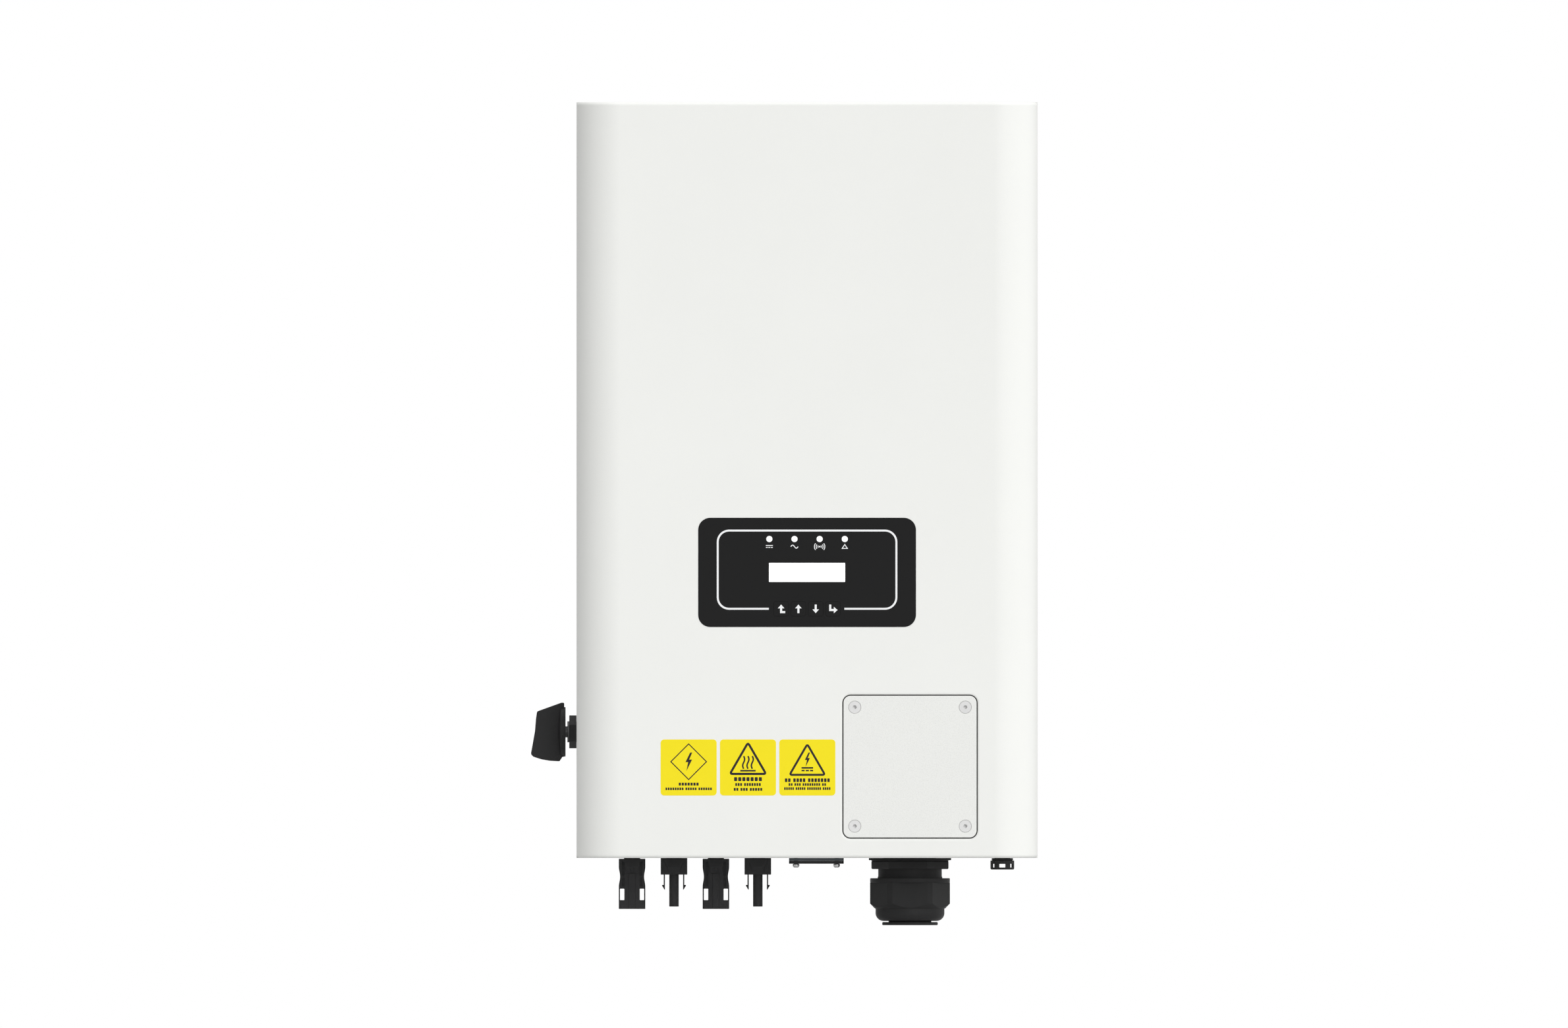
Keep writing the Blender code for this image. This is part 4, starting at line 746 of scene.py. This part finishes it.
def build_display():
    back = FRONT + 1.3 * MM
    levels = [(back, 0), (FILM_FRONT + 0.05 * MM, 0), (FILM_FRONT, 0.03 * MM)]
    film = slab("display_film", "Y", PANEL_MIDDLE, PANEL_SIZE, 8.8 * MM, levels, 12)
    outside = FRONT - 2 * MM
    window = grown(WINDOW_SIZE, 0.1 * MM)
    through = [(outside, 0), (back + 1 * MM, 0)]
    cutters = [slab("window", "Y", PANEL_MIDDLE, window, 0.35 * MM, through, 3)]
    for x in LAMP_XS:
        cutters.append(rod("lamp_hole", (x, outside, LAMP_Z), "+Y", 5 * MM, LAMP_RADIUS + 0.05 * MM, 32))
    for key in KEYS:
        centre = middle(key)
        side = KEY_CAP + 2 * KEY_GAP
        cutters.append(slab("key_hole", "Y", (centre.x, centre.z), (side, side), 2 * MM, through, 5))
    cut(film, *cutters)
    stand_in(film, FILM, "display_panel")

    levels = [(back, 0), (FILM_FRONT + 0.1 * MM, 0), (FILM_FRONT + 0.03 * MM, 0.07 * MM)]
    glass = slab("display_glass", "Y", PANEL_MIDDLE, WINDOW_SIZE, 0.3 * MM, levels, 3)
    stand_in(glass, LIT_DISPLAY, "display_lens")

    low = (LAMP_XS[0] - 4 * MM, back + 1 * MM, LAMP_Z - 3 * MM)
    high = (LAMP_XS[3] + 4 * MM, back + 3 * MM, LAMP_Z + 3 * MM)
    guide = block("lamp_guide", low, high)
    depth = back + 1.5 * MM - FILM_FRONT
    profile = [(0, 0), (LAMP_RADIUS - 0.25 * MM, 0.02 * MM), (LAMP_RADIUS, 0.2 * MM)]
    profile += [(LAMP_RADIUS, depth), (0, depth)]
    join(guide, *[turned("pipe", profile, (x, FILM_FRONT, LAMP_Z), "+Y", 32) for x in LAMP_XS])
    stand_in(guide, LENS_PAINTED_GLOW, "indicator_light_guide")


def key_symbol(node, x, z):
    """The outline of an arrow: up, down, or turning in from the side."""
    half_head, head, half_stem, half = 2.5, 2.9, 0.8, 3.3
    if node == "key_enter":
        points = [(-2.9, half), (-1.3, half), (-1.3, -0.1), (0.6, -0.1), (0.6, 1.6)]
        points += [(3.5, -0.9), (0.6, -3.4), (0.6, -1.7), (-2.9, -1.7)]
    else:
        points = [(0, half), (-half_head, half - head), (-half_stem, half - head), (-half_stem, -half)]
        points += [(half_stem, -half), (half_stem, half - head), (half_head, half - head)]
    if node == "key_back":
        bend = 2 * half_stem - half
        points[4:5] = [(3.1, -half), (3.1, bend), (half_stem, bend)]
    if node == "key_down":
        points = [(-u, -v) for u, v in points]
    return [(x + u * MM, z + v * MM) for u, v in points]


def build_keys():
    for node in KEYS:
        centre = middle(node)
        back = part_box(node)[1].y
        levels = [(back - 2.5 * MM, 0), (FILM_FRONT + 0.15 * MM, 0), (FILM_FRONT, 0.12 * MM)]
        cap = slab(node + "_cap", "Y", (centre.x, centre.z), (KEY_CAP, KEY_CAP), 1.9 * MM, levels, 5)
        stem = rod("stem", (centre.x, back - 3 * MM, centre.z), "+Y", 3 * MM, 1.5 * MM, 24)
        join(cap, stem)
        stand_in(cap, FILM, node)
        marks = Marks(INK_FRONT, FILM_FRONT + 0.02 * MM)
        marks.shape(key_symbol(node, centre.x, centre.z))
        piece(marks.made(node + "_symbol"), WHITE_INK, frame["nodes"][node]["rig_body"], SLOTS[node])


def build_display_marks():
    marks = Marks(INK_FRONT, FILM_FRONT + 0.02 * MM)
    x, z = PANEL_MIDDLE[0], PANEL_MIDDLE[1] + 2.1 * MM
    low = z - FRAME_LINE[1] / 2
    loop = rounded_rectangle((x, z), FRAME_LINE, 8.7 * MM, 10)
    right_end, left_end = 28.5 * MM, -29.2 * MM
    corner = len(loop) * 3 // 4
    path = [(right_end, low)] + loop[corner:] + loop[:corner] + [(left_end, low)]
    marks.line(path, 1.45 * MM)
    label = LAMP_Z - 5.8 * MM
    first, second, third, fourth = LAMP_XS
    marks.bar((first, label + 0.9 * MM), 5.4 * MM, 0.6 * MM)
    for k in (-1, 0, 1):
        marks.bar((first + k * 1.9 * MM, label - 0.6 * MM), 1.4 * MM, 0.6 * MM)
    wave = []
    for k in range(13):
        rise = math.sin(k * math.pi / 6) * 1.2 * MM
        wave.append((second + (k / 12 - 0.5) * 5.6 * MM, label + rise))
    marks.line(wave, 0.65 * MM)
    for k in range(3):
        reach = 1.3 * MM + k * 1.35 * MM
        for side in (0, 180):
            marks.line(arc((third, label), reach, side - 38, side + 38, 8), 0.6 * MM)
    marks.disc((third, label), 0.6 * MM)
    base, apex, half = label - 1.4 * MM, label + 1.6 * MM, 2.0 * MM
    marks.line([(fourth - half, base), (fourth, apex), (fourth + half, base)], 0.6 * MM, closed=True)
    piece(marks.made("display_marks"), WHITE_INK, "cabinet", SLOTS["display_panel"])


# ---- stickers

STICKER_SIDE = 42.8 * MM
STICKER_Z = BOTTOM + 69.1 * MM
STICKER_XS = (-90.4 * MM, -45.1 * MM, 0.2 * MM)


def triangle(x, apex, base):
    """An equal-sided triangle with small round corners."""
    half = (apex - base) / math.sqrt(3)
    return softened([(x, apex), (x - half, base), (x + half, base)], 2.0 * MM, 5)


def build_stickers():
    front = FRONT - 0.10 * MM
    square = (STICKER_SIDE, STICKER_SIDE)
    tops = STICKER_Z + STICKER_SIDE / 2
    for i, x in enumerate(STICKER_XS):
        levels = [(FRONT + 0.02 * MM, 0), (front + 0.03 * MM, 0), (front, 0.03 * MM)]
        label = slab(f"label_{i + 1}", "Y", (x, STICKER_Z), square, 2.7 * MM, levels, 8)
        piece(label, YELLOW_FILM, "cabinet", SLOTS["front_cover"])
    marks = Marks(FRONT - 0.14 * MM, front + 0.02 * MM)

    def row(x, depth, width, height, blocks):
        """A row of short blocks, as placeholder text: blocks are the lengths of its words."""
        pitch = width / (sum(blocks) + 0.6 * (len(blocks) - 1))
        start = x - width * MM / 2
        for count in blocks:
            for k in range(count):
                at = start + (k + 0.5) * pitch * MM
                marks.bar((at, tops - depth * MM), pitch * 0.74 * MM, height * MM)
            start += (count + 0.6) * pitch * MM

    def bolt(x, high, height):
        """A plain zigzag flash."""
        shape = [(0.9, 0), (-1.9, 5.7), (-0.3, 5.7), (-1.3, 10.9), (2.0, 4.2), (0.3, 4.2), (2.1, 0)]
        scale = height / 10.9 * MM
        marks.shape([(x + u * scale, tops - high * MM - v * scale) for u, v in shape])

    x, half, centre = STICKER_XS[0], 13.6 * MM, tops - 17.0 * MM
    diamond = [(x - half, centre), (x, centre + half), (x + half, centre), (x, centre - half)]
    marks.line(diamond, 0.75 * MM, True)
    bolt(x, 10.0, 14.0)
    row(x, 34.1, 15.7, 2.2, (7,))
    row(x, 37.7, 35.8, 1.9, (8, 5, 6))

    x = STICKER_XS[1]
    marks.line(triangle(x, tops - 2.5 * MM, tops - 26.3 * MM), 1.7 * MM, True)
    for k in (-1, 0, 1):
        wave = []
        for step in range(13):
            sway = k * 3.3 + math.sin(step * math.pi / 6) * 0.75
            wave.append((x + sway * MM, tops - (12.7 + 9.7 * step / 12) * MM))
        marks.line(wave, 1.15 * MM)
    marks.bar((x, tops - 23.9 * MM), 11.8 * MM, 1.2 * MM)
    row(x, 30.3, 22.0, 3.0, (7,))
    row(x, 34.4, 19.9, 2.2, (3, 7))
    row(x, 38.1, 22.2, 2.2, (2, 3, 5))

    x = STICKER_XS[2]
    marks.line(triangle(x, tops - 3.6 * MM, tops - 27.0 * MM), 1.6 * MM, True)
    bolt(x, 10.0, 10.9)
    marks.bar((x, tops - 21.7 * MM), 8.9 * MM, 1.2 * MM)
    for k in (-1, 0, 1):
        marks.bar((x + k * 3.25 * MM, tops - 23.8 * MM), 2.4 * MM, 1.1 * MM)
    row(x, 31.1, 34.8, 2.8, (2, 4, 7))
    row(x, 34.4, 29.0, 2.0, (2, 3, 8, 2))
    row(x, 37.5, 35.7, 2.0, (5, 5, 7, 4))
    piece(marks.made("label_marks"), DARK_INK, "cabinet", SLOTS["front_cover"])


# ---- solar connectors

# Sizes and drops of connectors and gland are in millimetres.
SERVICE_Y = middle("gland_washer").y
HEAD_HALF, HEAD_DEPTH, HEAD_RADIUS = 10.15, 5.5, 1.9
WAIST_TOP, WAIST_LENGTH, WAIST_DEPTH = 6.5, 15.5, 0.95
PLUG_HEAD = 12.7


def below(drop):
    """The height that lies so far under the cabinet."""
    return BOTTOM - drop * MM


def connector_head(name, x, top, length, waisted):
    """The flat moulding that both kinds share, with round upright edges and a finger waist."""
    levels = [(top, HEAD_HALF - 0.15), (top + 0.2, HEAD_HALF)]
    if waisted:
        for i in range(17):
            share = i / 16
            pinch = WAIST_DEPTH * (1 - math.cos(2 * math.pi * share)) / 2
            levels.append((WAIST_TOP + share * WAIST_LENGTH, HEAD_HALF - pinch))
    levels += [(length - 0.25, HEAD_HALF), (length, HEAD_HALF - 0.2)]
    rings = []
    for drop, reach in levels:
        size = (2 * reach * MM, 2 * HEAD_DEPTH * MM)
        outline = rounded_rectangle((x, SERVICE_Y), size, HEAD_RADIUS * MM, 5)
        rings.append([Vector((u, v, below(drop))) for u, v in outline])
    return loft(name, rings)


def connector_part(name, x, profile):
    return turned(name, in_mm(profile), (x, SERVICE_Y, BOTTOM), "-Z", 48)


def connector_crest(x, stations):
    """The swelling on both flat faces; a station is its drop, half width and half depth."""
    root = HEAD_DEPTH - 0.05
    rings = []
    for drop, half, swell in stations:
        ring = []
        for face in (-1, 1):
            for k in range(21):
                share = k / 10 - 1
                bulge = root + (swell - root) * (1 - share**8)
                across = x - face * share * half * MM
                ring.append(Vector((across, SERVICE_Y + face * bulge * MM, below(drop))))
        rings.append(ring)
    return loft("crest", rings)


def connector_collar(x):
    """The stem through the cabinet and the tapered crest under it."""
    profile = [(0, -13), (5.9, -13), (5.9, 0.05), (6.2, 0.1), (6.2, 3.0), (0, 3.0)]
    crest = [(0.8, 8.6, 6.2), (6.5, 5.8, 7.4), (7.0, 5.5, 7.3), (10.4, 5.0, 5.85), (12.6, 3.4, 5.45)]
    return connector_part("collar", x, profile), connector_crest(x, crest)


def build_pv_socket(node):
    x = middle(node).x
    length = (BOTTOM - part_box(node)[0].z) / MM
    head = connector_head(node + "_fine", x, 0.55, length, waisted=True)
    button = rod("button", (x, SERVICE_Y - 7.2 * MM, below(8.7)), "+Y", 2 * MM, 1.45 * MM, 24)
    ridge = [(-5.6, -5.5), (-2.7, -5.95), (-2.2, -6.5), (2.2, -6.5), (2.7, -5.95), (5.6, -5.5)]
    ridge += [(-u, -v) for u, v in ridge]
    rings = []
    for drop in (12.0, length - 0.25, length):
        shrink = 0.2 if drop == length else 0
        ring = [(u, v - math.copysign(shrink, v)) for u, v in ridge]
        rings.append([Vector((x + u * MM, SERVICE_Y + v * MM, below(drop))) for u, v in ring])
    join(head, *connector_collar(x), button, loft("ridge", rings))
    cutters = [rod("bore", (x, SERVICE_Y, below(length + 2)), "+Z", 34 * MM, 4.4 * MM, 32)]
    through = [(SERVICE_Y - 12 * MM, 0), (SERVICE_Y + 12 * MM, 0)]
    for side in (-1, 1):
        for face in (-1, 1):
            reach = [(SERVICE_Y + face * 9 * MM, 0), (SERVICE_Y + face * 4.6 * MM, 0)]
            for high, low in ((2.8, 13.8), (14.8, 21.6)):
                centre = (x + side * 6.8 * MM, below((high + low) / 2))
                size = (2.0 * MM, (low - high) * MM)
                cutters.append(slab("groove", "Y", centre, size, 0.95 * MM, reach, 6))
        across = x + side * 7.55 * MM
        window = (3.3 * MM, 8.7 * MM)
        cutters.append(slab("latch_window", "Y", (across, below(27.8)), window, 0.4 * MM, through, 4))
        half_width, half_depth = 1.5 * MM, 3.1 * MM
        low = (across - half_width, SERVICE_Y - half_depth, below(length + 2))
        high = (across + half_width, SERVICE_Y + half_depth, below(29))
        cutters.append(block("latch_channel", low, high))
    cut(head, *cutters)
    stand_in(head, CONNECTOR_PLASTIC, node)


def build_pv_plug(node):
    x = middle(node).x
    head = connector_head(node + "_fine", x, 0.03, PLUG_HEAD, waisted=False)
    end = (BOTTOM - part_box(node)[0].z) / MM
    tube = connector_part("tube", x, [(0, 10), (3.65, 10), (3.65, end - 0.3), (3.4, end), (0, end)])
    latches = []
    for side in (-1, 1):
        arm = [(6.9, 11.5), (7.9, 11.5), (7.9, 20.5), (9.1, 20.5), (9.1, 21.2), (7.3, 24.2), (6.9, 24.2)]
        arm = softened([(x + side * u * MM, below(v)) for u, v in arm], 0.2 * MM, 3)
        latches.append(prism("latch", "Y", arm, SERVICE_Y - 2.6 * MM, SERVICE_Y + 2.6 * MM))
    join(head, *connector_collar(x), tube, *latches)
    cut(head, rod("bore", (x, SERVICE_Y, below(end + 2)), "+Z", 30 * MM, 2.2 * MM, 32))
    stand_in(head, CONNECTOR_PLASTIC, node)


# ---- gland

GLAND = middle("gland_washer")
GLAND_TOP = (GLAND.x, GLAND.y, BOTTOM)


def gland_ring(name, profile, steps=96, turn=0.0):
    """A turned piece, with its heights in millimetres under the cabinet."""
    return turned(name, in_mm(profile), GLAND_TOP, "-Z", steps, turn)


def build_gland():
    profile = [(20.3, 0.05), (31.2, 0.05), (31.45, 0.25), (31.45, 1.4), (31.2, 1.7), (29.6, 1.75)]
    washer = gland_ring("gland_washer_fine", [*profile, (29.3, 2.2), (20.3, 2.2)])
    stand_in(washer, SEAL_RUBBER, "gland_washer")

    profile = [(16.5, -15), (19.9, -15), (19.9, 2.2), (24.3, 5), (24.3, 14), (24.7, 14.6)]
    body = gland_ring("gland_body_fine", [*profile, (24.7, 31), (20.5, 31), (20.5, 12), (16.5, 10)])
    hexagon = [(16.5, 2.2), (29.0, 2.2), (29.6, 2.6), (29.6, 8.0), (29.0, 8.5), (16.5, 8.5)]
    hexagon = gland_ring("hexagon", hexagon, 6, math.radians(-3.5))
    bevel(hexagon, 0.5 * MM, 3, 40)
    join(body, hexagon)
    stand_in(body, GLAND_PLASTIC, "gland_body")

    profile = [(24.8, 15.4), (30.0, 15.4), (30.35, 15.6), (30.45, 15.9), (30.45, 18.3), (30.3, 18.7)]
    profile += [(29.9, 19.0), (26.3, 19.0), *arc((20.2, 42.0), 6.1, 0, 90, 14), (17.0, 48.1)]
    profile += [(17.0, 44.4), (20.9, 44.4), (20.9, 42.4), (24.8, 34.4)]
    nut = gland_ring("gland_nut_fine", profile)
    flats = gland_ring("nut_flats", [(0, 18.8), (31.8, 18.8), (31.8, 38.7), (0, 38.7)], 6)
    core = [(0, 18.0), (30.2, 18.0), (30.5, 18.9), (30.5, 34.8), (26.8, 38.6), (0, 38.6)]
    combine(flats, "INTERSECT", [gland_ring("nut_round", core)])
    cut(flats, gland_ring("nut_core", [(0, 10), (25.5, 10), (25.5, 36.5), (0, 36.5)]))
    join(nut, flats)
    stand_in(nut, GLAND_PLASTIC, "gland_nut", 25)

    insert = gland_ring("gland_insert_fine", [(16.7, 18), (20.2, 18), (20.2, 41), (18.5, 44), (16.7, 44)])
    stand_in(insert, SEAL_RUBBER, "gland_insert")

    profile = [(0, 29), (15.6, 29), (16.35, 30), (16.35, 48.9), (20.6, 48.9), (21.0, 49.1), (21.25, 49.5)]
    profile += [(21.25, 50.7), (21.0, 51.1), (20.6, 51.3), (13.4, 51.3), (13.0, 50.8), (13.0, 33), (0, 33)]
    stand_in(gland_ring("gland_plug_fine", profile), PLUG_RUBBER, "gland_plug")


# ---- ports


def build_port_plate():
    low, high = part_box("port_plate")
    centre, size = ((low + high) / 2)[:2], (high - low)[:2]
    seam = (low.z + BOTTOM) / 2
    screws = [f"port_screw_{side}" for side in ("left", "right")]
    levels = [(seam - 0.02 * MM, 0), (low.z + 0.2 * MM, 0), (low.z, 0.2 * MM)]
    plate = slab("port_plate_fine", "Z", centre, size, 3 * MM, levels, 8)
    levels = [(BOTTOM - 0.05 * MM, 0), (seam, 0)]
    seal = slab("port_seal_fine", "Z", centre, size, 3 * MM, levels, 8)
    starts = [(middle(screw).x, middle(screw).y, low.z - 2 * MM) for screw in screws]
    for sheet in (plate, seal):
        cut(sheet, *[rod("hole", start, "+Z", 9 * MM, 1.9 * MM, 24) for start in starts])
    stand_in(plate, PORT_STEEL, "port_plate")
    stand_in(seal, PORT_SEAL, "port_seal")
    for screw in screws:
        bottom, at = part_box(screw)[0].z, middle(screw)
        head = (low.z - bottom) / MM
        profile = [(0, 0), (1.3, 0.03), (1.9, 0.3), (2.4, 0.9), (2.65, 1.7), (2.55, head - 0.4)]
        profile += [(2.1, head - 0.05), (1.5, head - 0.05), (1.5, head + 10), (0, head + 10)]
        origin = (at.x, at.y, bottom)
        made = turned(screw + "_fine", in_mm(profile), origin, "+Z", 40)
        arms = []
        for k in range(2):
            turn = Matrix.Rotation(math.radians(90 * k), 4, "Z")
            arm = block("arm", (-1.5 * MM, -0.35 * MM, -1 * MM), (1.5 * MM, 0.35 * MM, 1.1 * MM))
            arm.data.transform(Matrix.Translation(origin) @ turn)
            arms.append(arm)
        cut(made, *arms)
        stand_in(made, SCREW_STEEL, screw)


def build_logger_socket():
    node = "logger_socket"
    centre = middle(node)
    top = (centre.x, centre.y, BOTTOM)
    profile = [(0, -11), (6.0, -11), (6.0, 0.1), (7.8, 0.1), (8.1, 0.4), (8.25, 0.9), (8.1, 1.4)]
    profile += [(7.75, 1.9), (9.0, 1.95), (9.1, 2.05), (9.1, 7.9), (8.95, 8.4), (8.55, 8.75)]
    profile += [(8.2, 8.85), (8.0, 8.85), (7.9, 8.75), (7.9, 3.4), (0, 3.4)]
    socket = turned(node + "_fine", in_mm(profile), top, "-Z")
    through = [(centre.y - 11 * MM, 0), (centre.y + 11 * MM, 0)]
    window = (4.5 * MM, 2.7 * MM)
    windows = [slab("window", "Y", (centre.x, below(5.88)), window, 0.3 * MM, through, 3)]
    for degrees in (38.8, 141.2, 218.8, 321.2):
        angle = math.radians(degrees)
        way = Vector((math.cos(angle), math.sin(angle), 0))
        side = Vector((-way.y, way.x, 0)) * 1.4 * MM
        rings = []
        for reach in (6.5 * MM, 11 * MM):
            at = Vector((centre.x, centre.y, 0)) + way * reach
            corners = ((-1, 4.5), (1, 4.5), (1, 7.2), (-1, 7.2))
            rings.append([at + side * across + Vector((0, 0, below(drop))) for across, drop in corners])
        windows.append(loft("side_window", rings))
    cut(socket, *windows)
    stand_in(socket, BLACK_PLASTIC, node)


# ---- disconnect switch

SWITCH = Vector((LEFT, middle("dc_switch_shaft").y, middle("dc_switch_shaft").z))
GRIP_HALF = 5.8 * MM


def grip_outline(tip):
    """The leaning bar seen from the front; a point is how far out, how high and its own radius."""
    grip = [(9.4, -18.6, 1.5), (9.4, 22.3, 1.5), (11.6, 22.3, 0.5), (30.2, 15.6, 1.2), (31.0, 10.0, 1.5)]
    grip += [(31.7, 1.0, 1.5), (33.0, -6.5, 1.5), (tip - 0.02, -16.9, 1.0), (33.3, -18.9, 1.2)]
    grip += [(26.9, -21.0, 1.5), (20.3, -22.1, 1.5), (13.0, -22.5, 0.8), (10.7, -19.0, 1.5)]
    points = [(LEFT - out * MM, SWITCH.z + up * MM, radius * MM) for out, up, radius in grip]
    return softened(points, 0)


def build_switch():
    disc = [(0, 14.1), (7.0, 14.0), (9.5, 13.5), (12.5, 12.9), (15.5, 12.55), (17.6, 12.4), (18.6, 12.3)]
    disc += [(19.1, 11.8), (19.1, 9.9), (18.9, 9.6), (18.9, 8.7), (18.6, 8.4), (0, 8.4)]
    knob = turned("knob_fine", in_mm(disc), SWITCH, "-X", 96)
    outline = grip_outline((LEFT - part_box("dc_switch_knob")[0].x) / MM)
    bar = prism("grip", "Y", outline, SWITCH.y - GRIP_HALF, SWITCH.y + GRIP_HALF)
    bevel(bar, 0.9 * MM, 3, 50)
    join(knob, bar)
    cut(knob, rod("bore", (LEFT - 6.0 * MM, SWITCH.y, SWITCH.z), "-X", 15 * MM, 4.5 * MM, 32))
    stand_in(knob, KNOB_PLASTIC, "dc_switch_knob")

    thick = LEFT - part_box("dc_switch_nut")[0].x
    bore = rod("bore", (LEFT + 1 * MM, SWITCH.y, SWITCH.z), "-X", 12 * MM, 8.25 * MM, 48)
    gap, lean = 0.06 * MM, math.radians(-25)
    face = (LEFT - gap, SWITCH.y, SWITCH.z)
    nut = rod("switch_nut_fine", face, "-X", thick - gap, 12.7 * MM, 6, lean)
    bevel(nut, 0.25 * MM, 2, 40)
    cut(nut, bore)
    stand_in(nut, BLACK_PLASTIC, "dc_switch_nut")

    collar = [(4.5, 5.35), (8.03, 5.35), (8.03, 6.8), (7.85, 7.02), (4.5, 7.02)]
    collar = turned("switch_collar", in_mm(collar), SWITCH, "-X")
    piece(collar, SHAFT_STEEL, "cabinet", SLOTS["dc_switch_shaft"])


# ---- all pieces

SHEET_EDGES = (
    ("rear_chassis", 0.9 * MM, CASTING_PAINT),
    ("duct_cover", 0.6 * MM, CASTING_PAINT),
    ("wall_bracket", 0.5 * MM, BRACKET_STEEL),
    ("hanger_rail", 0.5 * MM, BRACKET_STEEL),
    ("fan_tray", 0.4 * MM, BRACKET_STEEL),
)

build_cover()
build_hatch()
for screw in HATCH_SCREWS:
    build_flush_screw(screw, HATCH_SCREW_STEEL, 2.8 * MM)
for screw in COVER_SCREWS:
    build_flush_screw(screw, SCREW_STEEL, 2.5 * MM)
build_display()
build_keys()
build_display_marks()
build_stickers()
for node in ("pv_socket_1", "pv_socket_2"):
    build_pv_socket(node)
for node in ("pv_plug_1", "pv_plug_2"):
    build_pv_plug(node)
build_gland()
build_port_plate()
build_logger_socket()
build_switch()
for node, width, material in SHEET_EDGES:
    stand_in(eased(node, width), material, node)


# ---- floor, light and camera

FLOOR_DROP = 90 * MM
VIEW_WIDTH = 1.197259
VIEW_PLACE = (-0.0176, -3, -0.1144)


def build_floor():
    z = cad_box[0][2] - FLOOR_DROP
    floor = prism("floor", "Z", rounded_rectangle((0, -0.3), (6, 6), 1.0, 12), z - 20 * MM, z)
    m = Material("floor_paint", (0.6,) * 3, 0.8, specular=0.2)
    grey = m.blend(m.noise(6, 3), (0.595,) * 3, (0.605,) * 3)
    floor.data.materials.append(m.feed(Base_Color=grey))


def build_world():
    """Even grey light from all round, in front of a white background."""
    world = bpy.data.worlds.new("studio")
    bpy.context.scene.world = world
    world.use_nodes = True
    nodes, links = world.node_tree.nodes, world.node_tree.links
    nodes.clear()
    seen, around = nodes.new("ShaderNodeBackground"), nodes.new("ShaderNodeBackground")
    for background, strength in ((seen, 1.0), (around, 0.5)):
        background.inputs["Color"].default_value = (1, 1, 1, 1)
        background.inputs["Strength"].default_value = strength
    path, mix = nodes.new("ShaderNodeLightPath"), nodes.new("ShaderNodeMixShader")
    links.new(path.outputs["Is Camera Ray"], mix.inputs[0])
    links.new(around.outputs[0], mix.inputs[1])
    links.new(seen.outputs[0], mix.inputs[2])
    links.new(mix.outputs[0], nodes.new("ShaderNodeOutputWorld").inputs["Surface"])


def sun(name, direction, strength, angle):
    """A broad soft lamp that shines from direction."""
    data = bpy.data.lights.new(name, "SUN")
    data.energy = strength * math.pi
    data.angle = math.radians(angle)
    lamp = bpy.data.objects.new(name, data)
    bpy.context.scene.collection.objects.link(lamp)
    lamp.rotation_euler = Vector(direction).to_track_quat("Z", "Y").to_euler()


def build_camera():
    data = bpy.data.cameras.new("camera")
    data.type = "ORTHO"
    data.ortho_scale = VIEW_WIDTH
    camera = bpy.data.objects.new("camera", data)
    bpy.context.scene.collection.objects.link(camera)
    camera.location = VIEW_PLACE
    camera.rotation_euler = (math.radians(90), 0, 0)
    bpy.context.scene.camera = camera


build_floor()
build_world()
sun("key_light", (0.40, -0.92, 0.40), 0.475, 50)
sun("side_light", (1.0, 0.08, 0.2), 0.19, 60)
sun("top_light", (0.0, 0.1, 1.0), 0.35, 60)
build_camera()
bpy.context.scene.view_settings.view_transform = "Standard"
